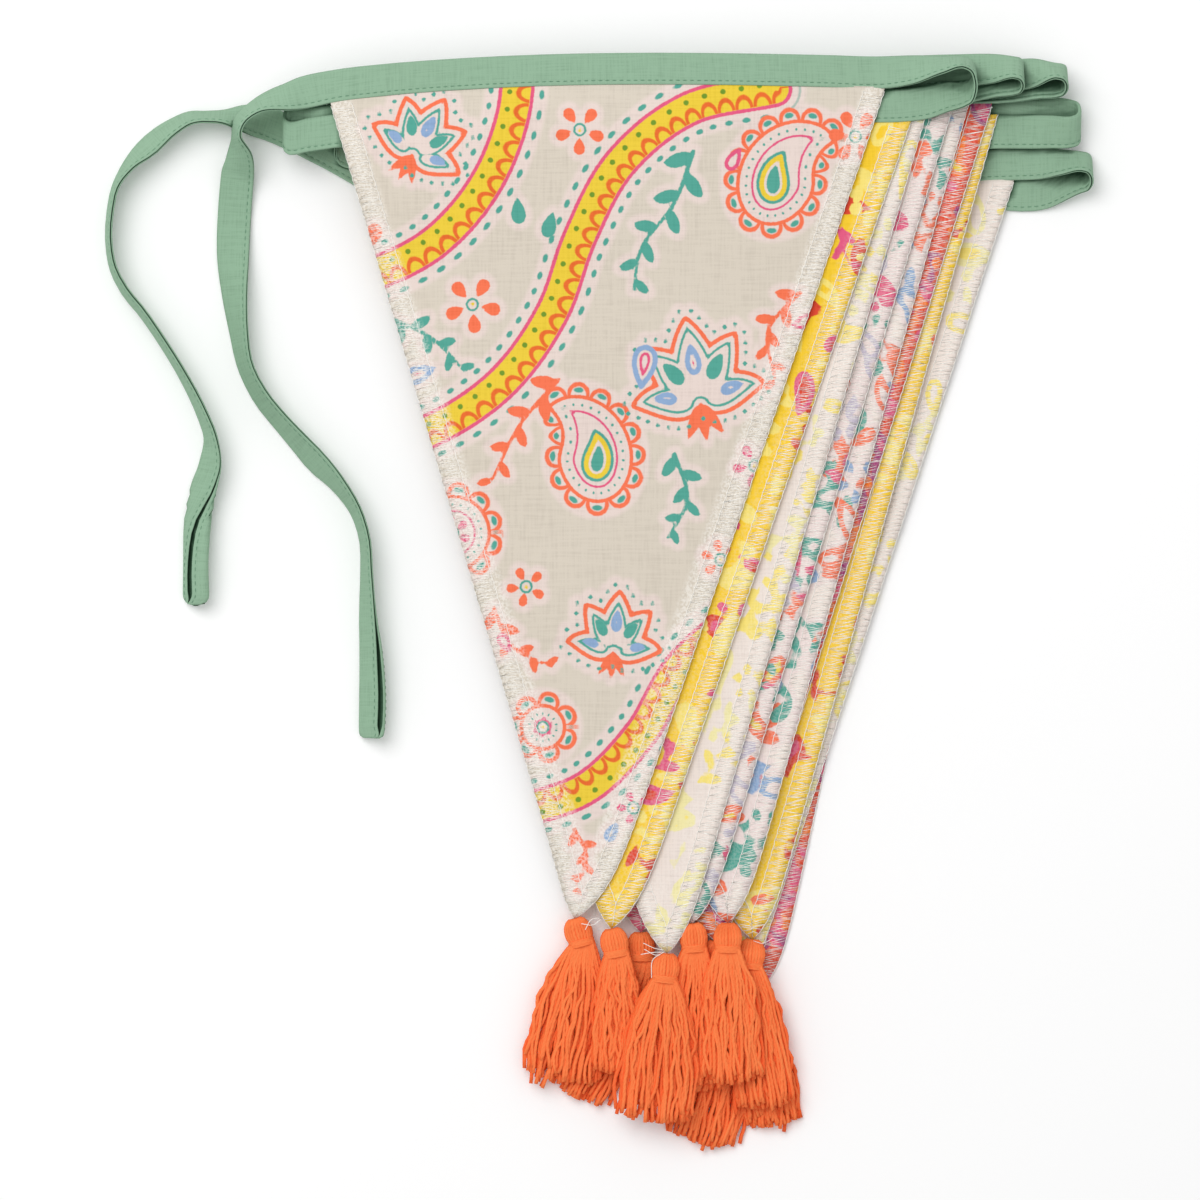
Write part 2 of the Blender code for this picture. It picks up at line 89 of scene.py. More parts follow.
FLAG_COLUMNS = ("bow", "hook", "layer", "cloth", "slot")
FLAG_TABLE = (
    (3.3, -3.9, 0, "front", "cloth_taupe"),
    (1.5, -1.8, 1, "yellow", "cloth_yellow"),
    (0.6, 0.0, 2, "sprigs", "cloth_cream"),
    (0.6, 0.0, 3, "blooms", "cloth_cream"),
    (0.3, 0.0, 4, "meadow", "cloth_cream"),
    (0.3, 0.6, 5, "coral", "cloth_coral"),
    (0.0, 0.0, 6, "dotted", "cloth_yellow"),
    (0.0, 0.0, 8, "blooms", "cloth_cream"),
    (0.0, 0.0, 9, "sprigs", "cloth_cream"),
    (0.0, 0.6, 10, "coral", "cloth_coral"),
)
FLIPPED_PASS = 6  # the one pass of binding that lies over its flag
FLIPPED_LAYER = 7
LAYERS = 11

# The binding's route, as its solid has it
TURN_COLUMNS = (
    "reach", "radius",
    "upper_y", "upper_rise", "upper_tilt", "upper_flat",
    "lower_y", "lower_rise", "lower_tilt", "lower_flat", "lower_sag",
)
RIGHT_LOOPS = (
    (111.6, 3.0, 159.6, 4.9, 56, 0.0, 150.6, 2.4, 34, 0.4, 0.0),
    (126.0, 2.3, 158.6, 3.2, 34, 0.5, 155.1, 1.0, 16, 0.0, 0.0),
    (139.2, 2.7, 157.8, 4.2, 48, 0.55, 154.2, 1.5, 24, 0.0, 0.0),
    (143.4, 2.2, 140.0, 2.6, -28, 0.3, 144.8, 0.8, -10, 0.0, 0.0),
    (147.0, 2.8, 131.1, 4.3, 52, 0.1, 126.4, 2.4, 27, 0.65, 6.0),
)
LEFT_FOLDS = (
    (-94.2, 0.7, 138.3, 0.0, 0, 0.0, 142.0, 0.0, 0, 0.0, 0.0),
    (-81.0, 0.7, 144.6, 0.0, 0, 0.0, 145.0, 0.0, 0, 0.0, 0.0),
    (-71.7, 1.4, 145.0, 0.0, 0, 0.0, 138.0, 0.0, 0, 0.0, 0.0),
    (-79.2, 0.7, 142.0, 0.0, 0, 0.0, 136.0, 0.0, 0, 0.0, 0.0),
)
FRONT_TIE = (  # x, y, width seen from above, share of the stack's height that lifts it
    (-68.4, -41.4, 8.1, 0.0), (-68.1, -30.0, 8.4, 0.0), (-68.4, -18.0, 7.5, 0.0),
    (-69.6, -3.0, 5.7, 0.0), (-69.9, 9.0, 4.4, 0.0), (-70.4, 18.0, 4.1, 0.0),
    (-73.0, 26.4, 4.3, 0.0), (-78.6, 34.8, 5.6, 0.0), (-84.9, 41.4, 7.3, 0.0),
    (-90.0, 47.1, 6.6, 0.0), (-95.1, 52.8, 6.0, 0.0), (-101.4, 60.6, 5.8, 0.0),
    (-106.0, 69.6, 5.6, 0.0), (-108.2, 81.0, 6.6, 0.0), (-109.5, 93.0, 8.6, 0.0),
    (-110.0, 105.0, 10.1, 0.0), (-109.5, 117.7, 10.2, 0.2), (-108.5, 127.7, 10.2, 0.6),
    (-107.8, 132.8, 9.8, 0.9), (-108.5, 138.1, 7.0, 1.0), (-107.7, 142.5, 7.4, 1.0),
    (-105.0, 145.4, 7.2, 1.0), (-101.6, 147.6, 7.6, 1.0), (-97.1, 149.1, 8.8, 1.0),
    (-93.5, 149.8, 9.7, 1.0), (-87.8, 151.4, 10.2, 1.0),
)
BACK_TIE = (
    (-69.6, 127.8, 10.2, 0.0), (-78.0, 132.6, 10.2, 0.0), (-85.5, 136.5, 10.2, 0.0),
    (-93.0, 140.2, 10.2, 0.0), (-100.5, 143.2, 10.2, 0.0), (-107.4, 144.4, 8.6, 0.0),
    (-112.2, 144.6, 5.6, 0.0), (-117.0, 144.6, 4.6, 0.0), (-122.4, 144.3, 5.2, 0.0),
    (-128.4, 141.3, 6.2, 0.0), (-135.0, 135.9, 7.3, 0.0), (-141.0, 130.2, 5.0, 0.0),
    (-144.9, 123.9, 3.4, 0.0), (-146.7, 115.5, 3.1, 0.0), (-147.0, 106.5, 3.0, 0.0),
    (-145.6, 99.0, 3.1, 0.0), (-142.2, 92.4, 3.3, 0.0), (-137.1, 86.1, 3.3, 0.0),
    (-131.1, 77.4, 3.3, 0.0), (-124.5, 66.6, 3.6, 0.0), (-119.4, 56.4, 4.2, 0.0),
    (-116.6, 48.6, 5.0, 0.0), (-116.6, 41.4, 7.4, 0.0), (-118.8, 33.0, 8.7, 0.0),
    (-120.6, 22.5, 8.7, 0.0), (-121.0, 11.4, 8.0, 0.0), (-120.9, -1.8, 8.6, 0.0),
)

# The tape's own make
TAPE_STEP = 0.6  # between the sections of the fine tape, before straight stretches are thinned
TAPE_STRIDE = 3.6  # longest distance between two sections
TAPE_BEND = math.radians(7.0)  # and the most that the tape turns from one to the next
TAPE_POINTS = 20  # round the outside of a section, between its two hems
HEM_POINTS = (0.0, 0.2, 0.5, 0.9, 1.15, 1.4, 1.65, 1.9, 2.4)  # distances from each edge
LINING_POINTS = 12  # and round its inside
LEAF_THICK = 0.35
SHUT_GAPE = 0.5  # how far the tape's two edges stand apart
OPEN_GAPE = 2.0  # and the same at a tie's free end
OPEN_LENGTH = 42.0  # of a tie, from its free end
OPEN_STEEP = 1.6
OPEN_BULGE = 1.15  # half the tape's thickness there
END_THICK = 0.42  # half its thickness at the very end, where it is pressed shut
END_GAPE = 0.15
END_CLOSE = 4.5  # over this length
END_ROWS = 9  # sections at each end that thinning leaves in
FRONT_ROUND = 1.8  # radius of the corners of each tie's end
BACK_ROUND = 3.6
FRONT_SLIT = 1.6  # where the slit lies at a free end, over the top face from the sewn edge
BACK_SLIT = 7.2
FLAT_SHAPE = (SHUT_GAPE, TAPE_THICK / 2, 0.0)  # gape, half the thickness, place of the slit
HEM = 1.4  # from the tape's edge to its stitches
GROOVE = 0.14
GROOVE_WIDTH = 0.35
RIM = 0.05
RIM_WIDTH = 0.5
# Painted shade in the tape's hollows: rays from each vertex, and how many of them hit cloth close by
HOLLOW_REACH = 9.0
HOLLOW_START = 0.25
HOLLOW_LEAN = 1.1
HOLLOW_RAYS = (
    (1, 0, 0), (-1, 0, 0), (0, 1, 0), (0, -1, 0), (0, 0, 1), (0, 0, -1),
    (1, 1, 1), (-1, 1, 1), (1, -1, 1), (-1, -1, 1), (1, 1, -1), (-1, -1, -1),
)
STITCH_PITCH = 2.1
STITCH_LENGTH = 1.6
STITCH_RADIUS = 0.11
STITCH_ROWS = 4  # points along one stitch
STITCH_SIDES = 4
STITCH_START = 1.0  # along the tape
STITCH_TOP = 0.12  # height over the tape's face
STITCH_ROOT = -0.16
STITCH_ROUND = 0.6

# Overlocked edges
BAND = 6.0
LOOP_PITCH = 2.3
LOOP_STRAY = 0.1  # of the pitch
LOOP_UNEVEN = 0.25
LOOP_START = 2.0  # bare lengths at the tip and at the binding
LOOP_END = 1.0
LOOP_OUT = -0.1  # where its outer turns lie, just past the edge
LOOPERS = ((1, 0.0), (1, 0.3), (-1, 0.5))  # face of the cloth, and shift in pitches
NARROWEST = 0.5  # least half width of the cloth by which a place across it is reckoned
THREAD = 0.13  # its radius
THREAD_SIDES = 3
THREAD_PROUD = 0.3  # share of its radius that it stands off the cloth
CHAIN_THREAD = 1.2  # thickness of the edge's chain, to the other threads'
CHAIN_START = 1.0
CHAIN_OUT = -0.15
CHAIN_ROLL = 2.0
CHAIN_WANDER = 0.12
CHAIN_BEAT = 1.37
NEEDLE_THREAD = 1.1
NEEDLE_RISE = 0.03
TAIL_STEP = 0.8
TAILS = {  # loose thread ends at a tip, by flag: x, y and how far above the cloth
    2: (
        ((19.2, -104.6, 0.4), (16.4, -104.0, 1.6), (12.9, -102.4, 2.0)),
        ((19.0, -105.2, 0.4), (15.8, -105.2, 1.9), (12.2, -105.8, 1.6)),
        ((18.8, -105.6, 0.4), (16.0, -107.0, 2.4), (15.4, -113.6, 2.6)),
        ((19.4, -105.0, 0.4), (16.9, -106.0, 2.2), (13.2, -104.2, 2.4)),
    ),
    0: (
        ((0.4, -95.4, 0.3), (-2.2, -97.2, 1.8), (-5.6, -96.8, 1.9)),
        ((0.2, -95.2, 0.3), (-2.6, -95.6, 1.6), (-4.4, -98.6, 2.1)),
    ),
    5: (
        ((45.9, -101.9, 0.4), (48.6, -102.6, 1.6), (51.4, -101.2, 1.8)),
    ),
}

# Tassels
HEAD_WIDTH = 8.0
HEAD_THICK = 4.0
HEAD_LENGTH = 8.4
HEAD_PROFILE = (  # share of the head's length, and of its width there
    (0.0, 0.45), (0.1, 0.76), (0.26, 0.93), (0.46, 1.0), (0.64, 0.96), (0.76, 0.84), (1.0, 0.88),
)
HEAD_YARNS = 22
HEAD_STRAY = 0.2  # share of the way to the next yarn
HEAD_POINTS = 12
HEAD_END = 0.95
HEAD_SINK = 0.6  # of a yarn's radius, as the next ones
HEAD_YARN = 1.15
NECK_YARN = 0.62
NECK_SWELL = 0.35
NECK_SHARE = 0.76  # of the head's length, where the wrapped neck starts
NECK_LONG = 0.24
NECK_WIDTH = 7.0
NECK_THICK = 3.2
NECK_TURNS = 5
NECK_POINTS = 25
YARN = 0.61  # its radius
YARN_ROWS = 4
ROW_SHADE = 0.6  # painted shade added to the tone of each row of yarns under the top one
YARN_COLUMNS = 20
COLUMN_STRAY = 0.7
ROW_PITCH = 0.75
ROW_NARROWS = 0.12
SIDE_STACK = 0.35  # share of the rows' height that is left at the skirt's sides
YARN_POINTS = 22
YARN_SIDES = 5
SKIRT_START = 1.2  # how far up the neck the skirt's yarns start
SKIRT_ROUND = 0.6
KNEE_AT = 0.3
KNEE_SPREAD = 0.5
TRIM = 0.12
SIDE_TRIM = 0.05
STRAY = 0.07  # how far a yarn leaves its place in the row
STRAY_EVERY = 34  # one yarn in so many hangs out past the others
STRAY_REACH = 0.07
YARN_WAVES = ((1.3, 0.55), (2.9, 0.4), (5.5, 0.2))  # turns along a yarn, and height
YARN_WAVE_RISE = 2.0  # how fast the waves grow
YARN_LIFT = 0.3
YARN_LIFT_RUN = (4.0, 12.0)
HEAD_RISE = 2.0
SKIRT_FALL = 2.2
STRAND_PITCH = 1.25
TASSEL_COLUMNS = ("head", "end", "width", "mid_z", "end_z")
TASSEL_TABLE = (
    ((-6.6, -98.9), (-12.4, -144.6), 24.6, 2.6, 2.6),
    ((4.2, -101.9), (5.2, -141.8), 16.5, 5.2, 5.1),
    ((19.6, -109.9), (16.2, -156.2), 25.5, 9.6, 7.6),
    ((27.9, -100.3), (26.4, -145.0), 19.5, 7.2, 5.3),
    ((38.1, -100.2), (39.6, -144.8), 19.2, 9.6, 7.8),
    ((33.7, -106.7), (26.0, -147.0), 16.5, 3.6, 2.8),
    ((45.2, -105.6), (49.8, -152.4), 18.6, 5.6, 4.2),
    ((12.3, -103.9), (-8.7, -148.8), 24.0, 0.0, 0.0),
    ((39.7, -121.1), (30.6, -163.4), 22.5, 0.0, 0.0),
    ((48.0, -119.6), (52.0, -158.0), 18.6, 0.0, 0.0),
)

# Finish
CLOTH_ROUGHNESS = 0.88
THREAD_ROUGHNESS = 0.85
YARN_ROUGHNESS = 0.8
FLOOR_ROUGHNESS = 0.9
SPECULAR = 0.25
WEAVE_PITCH = 0.55
TAPE_WEAVE = 0.5
SLUB = 9.0  # length over which a thread keeps its thickness
WEAVE_DEPTH = 0.14
TAPE_DEPTH = 0.16
YARN_DEPTH = 0.09
PUCKERS = (3.2, 7.0, 1.0)
PUCKER_HEIGHT = 2.6
PATCH = 24.0
PATCH_SHARE = 0.12
# painted shade between the threads, mixed with random patches of tone
MOTTLE_SHADE_SHARE = 0.04
MOTTLE_SHADE_VALUE = 0.55
MOTTLE_SHADE_SATURATION = 1.15
TAPE_CONTRAST = 1.4
HOLLOW_SHADE_RAMP = (1.8, -0.38)  # painted shade in the hollows: factor and offset
INK_SOFT = 0.3  # width of an ink's soft edge
INK_GRAIN = 0.8
INK_UNEVEN = 0.18
COVER = 0.14  # share of the cloth's colour that the overlock hides
FRONT_COVER = 0.42
LOOP_GRAIN = 0.7
LOOP_TONE = (4.0, -1.5)
LOOP_EASE = 2.0
YARN_TWIST = 1.8
YARN_SHEEN = 1.0
SHEEN_ROUGHNESS = 0.6
TONE_SHIFT = 40.0  # turns each length's twist out of step with the others
TONE_AND_SHADE_SHARE = 0.22
PLY_GROOVE_SHADE = 0.12
FUZZ_GRAIN = 0.5
FUZZ_HEIGHT = 0.6

# Colours, sRGB
FLOOR = (254, 254, 254)
SAGE = (143, 176, 149)
SAGE_SHADE = (112, 150, 122)
SAGE_HOLLOW_SHADE = (54, 88, 64)
TAUPE = (214, 204, 189)
PALE = (228, 211, 203)
YELLOW = (246, 204, 50)
CREAM = (236, 223, 214)
BLUSH = (234, 216, 212)
CORAL = (228, 84, 58)
ORANGE = (255, 138, 78)
THREAD_WHITE = (255, 252, 246)
STITCH_GREEN = (104, 146, 118)
# the yarn's darker tone, which also serves as painted shade on the lower rows and between the plies
YARN_DARK = (240, 70, 18)
YARN_FUZZ = (255, 110, 50)
INK_CORAL = (244, 118, 82)
INK_YELLOW = (234, 202, 62)
INK_AMBER = (230, 108, 48)
INK_PINK = (226, 92, 130)
INK_TEAL = (84, 164, 148)
INK_BLUE = (142, 170, 206)
INK_GREEN = (112, 150, 48)
INK_PURPLE = (172, 66, 124)
INK_SUN = (246, 224, 120)
INK_RED = (222, 74, 50)
INK_LILAC = (196, 186, 202)
INK_LEMON = (240, 230, 170)
INK_ORANGE = (244, 122, 40)

# Prints: each ink has a field of distances from its shapes
INK_FIELDS = ("coral", "teal", "pink", "blue")
FIELD_NAMES = ("band", "boteh", "leaf", "core", "bloom", *INK_FIELDS)
RUN_FIELDS = ("band", "boteh")  # those whose rows of dots need the way along the outline too
FAR = 12.0  # distance given to what lies out of a motif's reach
HALO_REACH = {"leaf": 1.6, "boteh": 3.6, "bloom": 2.0}
HALO_BAND = 7.5
FRONT_HALO = (1.9, 1.3)  # reach and softness
HALO = (1.6, 1.2)
HEART = -1.5
BAND_STEP = 2.5
BAND_HALF = 4.2
BAND_RIM = 5.3
BAND_PITCH = 5.5
SCALLOP_PITCH = 6.2
PRINTS = {  # ground, halo, then an ink and its heart for each of INK_FIELDS
    "yellow": (YELLOW, YELLOW, (
        (INK_RED, INK_RED), (INK_SUN, YELLOW), (INK_PINK, INK_RED), (INK_SUN, INK_SUN))),
    "sprigs": (CREAM, CREAM, (
        (INK_SUN, CREAM), (INK_LEMON, CREAM), (INK_LEMON, INK_SUN), (INK_SUN, CREAM))),
    "blooms": (BLUSH, BLUSH, (
        (INK_CORAL, INK_YELLOW), (INK_TEAL, BLUSH), (INK_PINK, INK_PINK), (INK_LILAC, BLUSH))),
    "meadow": (CREAM, BLUSH, (
        (INK_CORAL, INK_CORAL), (INK_TEAL, INK_TEAL), (INK_CORAL, BLUSH), (INK_BLUE, BLUSH))),
    "coral": (CORAL, CORAL, (
        (INK_PURPLE, INK_PINK), (INK_ORANGE, INK_CORAL), (INK_PINK, INK_PURPLE), (INK_ORANGE, INK_YELLOW))),
    "dotted": (YELLOW, YELLOW, (
        (INK_RED, INK_PINK), (INK_SUN, YELLOW), (INK_SUN, INK_CORAL), (YELLOW, INK_SUN))),
}
BANDS = (
    ((-96, 92), (-72, 96), (-50, 106), (-34, 124), (-26, 144), (-24, 166)),
    ((-74, 44), (-52, 50), (-30, 64), (-14, 86), (-6, 108), (6, 130), (26, 146), (52, 152)),
    ((62, 6), (40, -6), (24, -20), (12, -40), (-4, -56), (-26, -64)),
)
BOTEHS = ((52, 112, 25, 96, True), (-4, 30, 24, 70, False))  # the round end, size, turn, mirrored
ROUNDS = ((-44, 20, 11.0), (70, 56, 8.0), (-17, -38, 6.5))  # middle and radius
PALMETTES = ((30, 58, 27, 100), (4, -16, 19, 84), (-56, 132, 20, 60))  # foot, size, turn
BLOOMS = (  # place, size, petals, ink
    (-38, 88, 8.5, 5, "coral"),
    (-6, 140, 7.5, 5, "coral"),
    (76, 138, 8.0, 6, "coral"),
    (46, 40, 6.5, 5, "pink"),
    (-22, 4, 6.0, 5, "coral"),
    (36, 12, 6.0, 6, "coral"),
    (10, -62, 5.0, 5, "pink"),
)
SPRIGS = (  # stem, ink, leaf length
    (((28, 134), (22, 118), (12, 104), (10, 92)), "teal", 9.5),
    (((-62, 84), (-50, 78), (-40, 68)), "teal", 7.5),
    (((-12, 66), (-24, 52), (-32, 36)), "coral", 8.5),
    (((60, 92), (50, 80), (52, 66)), "coral", 7.5),
    (((22, 44), (26, 30), (20, 18)), "teal", 7.5),
    (((-32, -2), (-26, -14), (-14, -20)), "coral", 7.0),
    (((-8, -68), (-4, -76), (-8, -88)), "coral", 5.5),
    (((26, -34), (22, -46), (20, -58)), "teal", 5.5),
)
DROPS = (  # place, length, turn, ink
    (14, 76, 14.0, 262, "blue"),
    (-58, 66, 10.0, 20, "blue"),
    (-66, 112, 9.0, 240, "coral"),
    (86, 112, 10.0, 250, "blue"),
    (38, 128, 8.0, 60, "pink"),
    (64, 84, 8.0, 200, "pink"),
    (-16, 108, 8.0, 75, "teal"),
    (-24, 112, 8.0, 95, "teal"),
    (-30, -10, 7.0, 300, "pink"),
    (2, -72, 7.0, 60, "blue"),
)
CURL_POWER = 1.6
SPINE_POINTS = 60
BOTH_SHARP = 2.0  # the sharpness of a drop that has a point at each end
DROP_POINTS = 28
DROP_FULLNESS = 0.65
DROP_WIDTH = 0.55
BOTEH = (1.5, 0.86, 2.0, 0.8, 90)  # length and width by its size, curl, sharpness, points
BOTEH_HEART = (0.62, 0.34, 0.8, 0.8, 40)
BOTEH_HEART_PLACE = (0.26, 0.02)
ROUND_POINTS = 60
ROUND_FLOWER = (0.5, 6, "pink")  # size, petals, ink
BLADES = ((-68, "blue"), (-30, "teal"), (0, "blue"), (30, "teal"), (68, "blue"))  # of a palmette: turn, ink
WIDEST_BLADE = 68
BLADE_SHRINK = 0.22  # of the widest one
BLADE_WIDTH = 0.5
BLADE_CURL = 0.6
BLADE_SHARP = 0.7
BLADE_POINTS = 40
BLADE_STEP = 0.5
INNER_BLADE = (0.36, 0.17, 0.34, 24)  # length, width and place by the blade's length, points
SEPALS = (150, 180, 210)
SEPAL = (0.42, 0.14)
SPOTS = (2.5, 2.9, 0.75)  # distance from the blades, pitch, radius
SPOT_SLACK = 0.1
PETAL = (0.7, 0.46)
BLOOM_TURN = 7.0
SPRIG_STEP = 1.2
STEM_WIDTH = (0.65, 0.45)
LEAF_TURN = 42.0
LEAF_PITCH = 0.72
LEAF_SHRINK = 0.4
LEAF_WIDTH = 0.46
LEAF_CURL = 0.5
LEAF_POINTS = 20
STREW_SPACING = {"coral": 9.0, "meadow": 10.0, "blooms": 10.0}
USUAL_SPACING = 12.0
STREW_ROWS = 0.85  # distance between rows, to that in a row
STREW_STRAY = 4.0
STREW_SPRIG = (8.0, 7.5)  # half the stem's length, leaf length
STREW_BLOOM = (5.5, 7.5)
STREW_PETALS = (5, 8)
STREW_DROP = (10.0, 16.0)
STREW_CURL = 1.2
STREW_WIDTH = 0.42
STREW_SEED = 40
OVERLOCK_SEED = 300
TASSEL_SEED = 100


def named(columns, table):
    """Each row of a table as a dictionary of its columns."""
    return [dict(zip(columns, row)) for row in table]


def numbered(kind, index):
    return f"{kind}_{index + 1:02d}"


FLAGS = named(FLAG_COLUMNS, FLAG_TABLE)
LOOPS = named(TURN_COLUMNS, RIGHT_LOOPS)
FOLDS = named(TURN_COLUMNS, LEFT_FOLDS)
TASSELS = named(TASSEL_COLUMNS, TASSEL_TABLE)


# Plain geometry

def smooth(t):
    """0 to 1 with flat ends."""
    t = np.clip(t, 0.0, 1.0)
    return t * t * (3.0 - 2.0 * t)


def lerp(a, b, t):
    return a + (b - a) * t


def unit(vectors):
    vectors = np.asarray(vectors, float)
    return vectors / np.linalg.norm(vectors, axis=-1, keepdims=True)


def cross(a, b):
    """Of vectors in plan."""
    return a[..., 0] * b[..., 1] - a[..., 1] * b[..., 0]


def so_far(steps):
    """The sum before each step, and of all of them."""
    return np.concatenate(([0.0], np.cumsum(steps)))


def spans_of(points):
    return np.linalg.norm(np.diff(points, axis=0), axis=1)


def segment_distance(points, a, b):
    """Distance of each point from one straight stretch."""
    along = b - a
    share = np.clip((points - a) @ along / (along @ along), 0.0, 1.0)
    return np.linalg.norm(points - a - share[:, None] * along, axis=1)


def line_distance(points, line):
    return np.min([segment_distance(points, a, b) for a, b in zip(line, line[1:])], axis=0)


def triangle_distance(points, corners):
    """0 inside, else the distance to the nearest side."""
    closed = [*corners, corners[0]]
    turns = np.array([cross(b - a, points - a) for a, b in zip(closed, closed[1:])])
    inside = (turns.min(axis=0) >= 0.0) | (turns.max(axis=0) <= 0.0)
    return np.where(inside, 0.0, line_distance(points, closed))


def resample(points, step):
    """A smooth line through points, with a new point every step of its length."""
    points = np.asarray(points, float)
    spans = spans_of(points[:, :3])
    runs = np.diff(points, axis=0) / spans[:, None]
    slopes = np.empty_like(points)
    slopes[0], slopes[-1] = runs[0], runs[-1]
    before, after = spans[:-1, None], spans[1:, None]
    slopes[1:-1] = (runs[:-1] * after + runs[1:] * before) / (before + after)
    marks = so_far(spans)
    wanted = np.linspace(0.0, marks[-1], int(marks[-1] / step) + 2)
    cell = np.clip(np.searchsorted(marks, wanted, side="right") - 1, 0, len(spans) - 1)
    span = spans[cell][:, None]
    t = (wanted - marks[cell])[:, None] / span
    start, end = points[cell], points[cell + 1]
    bend = (slopes[cell] * (1.0 - t) - slopes[cell + 1] * t) * span * t * (1.0 - t)
    return lerp(start, end, t) + bend + (end - start) * t * (1.0 - t) * (2.0 * t - 1.0)


# Where the flags and the binding lie

def find_corners(index):
    """Left, right and lower corner of a flag in plan, as its solid lies."""
    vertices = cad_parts[numbered("flag", index)].data.vertices
    places = np.zeros(len(vertices) * 3)
    vertices.foreach_get("co", places)
    places = places.reshape(-1, 3) / MM
    picks = (places[:, 0].argmin(), places[:, 0].argmax(), places[:, 1].argmin())
    return [places[pick, :2] for pick in picks]


CORNERS = [find_corners(index) for index in range(len(FLAGS))]


def flag_height(index):
    left, right, tip = CORNERS[index]
    return np.linalg.norm((left + right) / 2 - tip)


def edge_length(index, side):
    """Of a flag's slanted edge: side is -1 for the left one, 1 for the right one."""
    left, right, tip = CORNERS[index]
    return np.linalg.norm((left if side < 0 else right) - tip)


def top_edge(index, share):
    """Points of a flag's top edge, from its left corner (0) to its right one (1), and the way up from it."""
    left, right, _ = CORNERS[index]
    along = right - left
    up = unit((-along[1], along[0]))
    arch = FLAGS[index]["bow"] * np.sin(math.pi * np.clip(share, 0.0, 1.0) ** ARCH_LEAN)
    return left + np.multiply.outer(share, along) + np.multiply.outer(arch, up), up


def tape_centre(index, share):
    """Middle of the binding beside a flag's top edge."""
    point, up = top_edge(index, share)
    side = -TAPE_WIDTH / 2 if index == FLIPPED_PASS else TAPE_WIDTH / 2 + SEAM_GAP
    return point + up * side, up


def turn_after(index):
    """The turn that follows a pass: a loop at the right after even ones, else a fold at the left."""
    return LOOPS[index // 2] if index % 2 == 0 else FOLDS[index // 2]


def band_line(index):
    """The middle line of one pass of binding, with the ends of its turns."""
    line = [tape_centre(index, share)[0] for share in (0.0, 1.0)]
    ends = []
    if index > 0:
        ends.append(np.array([turn_after(index - 1)["reach"], turn_after(index - 1)["lower_y"]]))
    if index < len(FLAGS) - 1:
        ends.append(np.array([turn_after(index)["reach"], turn_after(index)["upper_y"]]))
    for end in ends:
        line.insert(0 if end[0] < line[0][0] else len(line), end)
    if index == len(FLAGS) - 1:
        line = [np.array(row[:2]) for row in reversed(BACK_TIE[:TIE_ROWS_UNDER])] + line
    return line


def pass_layer(index):
    return FLIPPED_LAYER if index == FLIPPED_PASS else FLAGS[index]["layer"]


def stack_layers():
    """What lies in each layer of the stack: the corners of a flag and the line of a pass of binding."""
    layers = [{"flag": None, "band": None} for _ in range(LAYERS)]
    for index, flag in enumerate(FLAGS):
        layers[flag["layer"]]["flag"] = CORNERS[index]
        layers[pass_layer(index)]["band"] = band_line(index)
    return layers


STACK = stack_layers()


def cover(layer, points):
    """1 over a layer's own cloth, easing to 0 at DRAPE_REACH from it."""
    bare = np.ones(len(points))
    if layer["flag"]:
        bare *= smooth((triangle_distance(points, layer["flag"]) - TIP_WIDTH) / DRAPE_REACH)
    if layer["band"]:
        bare *= smooth((line_distance(points, layer["band"]) - TAPE_WIDTH / 2) / DRAPE_REACH)
    return 1.0 - bare


def lift(layer, points):
    """Height that the layers beneath give to this one."""
    points = np.atleast_2d(points)
    return LAYER_STEP * sum((cover(below, points) for below in STACK[layer + 1:]), np.zeros(len(points)))


def tip_widening(height, up):
    """How far each slanted edge stands out from a straight one, because the tip is blunt."""
    return TIP_WIDTH * (1.0 - np.exp(-height / TIP_LENGTH)) * (1.0 - up)


def flag_places(index, across, up):
    """Places in plan on a flag: across from -1 to 1, up from 0 at the tip to 1 at the top edge."""
    left, right, tip = CORNERS[index]
    top, _ = top_edge(index, (across + 1.0) / 2)
    height = up * flag_height(index)
    hook = FLAGS[index]["hook"] * np.exp(-height / HOOK_LENGTH)
    sideways = across * tip_widening(height, up) + hook
    return lerp(tip, top, up[:, None]) + sideways[:, None] * unit(right - left)


def ripple(index, points, up):
    """The cloth's own waves, which die out at the binding and at the tip."""
    height = np.zeros(len(points))
    first, by_wave, by_flag = RIPPLE_HEADING
    for turn, length in enumerate(RIPPLE_LENGTHS):
        heading = first + by_wave * turn + by_flag * index
        run = points @ np.array([math.cos(heading), math.sin(heading)])
        height += np.sin(run * math.tau / length + RIPPLE_PHASE * index) / (turn + 1)
    return RIPPLE * height * smooth((1.0 - up) * RIPPLE_EASE[0]) * smooth(up * RIPPLE_EASE[1])


def flag_surface(index, across, up):
    """The middle of a flag's cloth, in space."""
    places = flag_places(index, across, up)
    z = TAPE_THICK / 2 + lift(FLAGS[index]["layer"], places) + ripple(index, places, up)
    return np.column_stack((places, z))


def tip_place(index):
    return flag_surface(index, np.zeros(1), np.zeros(1))[0]


# Meshes

def make_mesh(name, places, faces, material):
    """An object, in metres, from places in millimetres."""
    mesh = bpy.data.meshes.new(name)
    mesh.from_pydata((places * MM).tolist(), [], faces)
    mesh.polygons.foreach_set("use_smooth", [True] * len(mesh.polygons))
    mesh.materials.append(material)
    mesh.update()
    piece = bpy.data.objects.new(name, mesh)
    bpy.context.scene.collection.objects.link(piece)
    return piece


def add_mark(piece, name, values):
    """One number for each vertex, for the material to read."""
    attribute = piece.data.attributes.new(name, "FLOAT", "POINT")
    attribute.data.foreach_set("value", np.asarray(values, np.float32))


def seat(piece, slot=None, stands_for=()):
    """The piece rides on the bunting and stands for those CAD nodes; slot is not used."""
    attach(piece, BODY)
    if stands_for:
        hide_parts(*stands_for)
    return piece


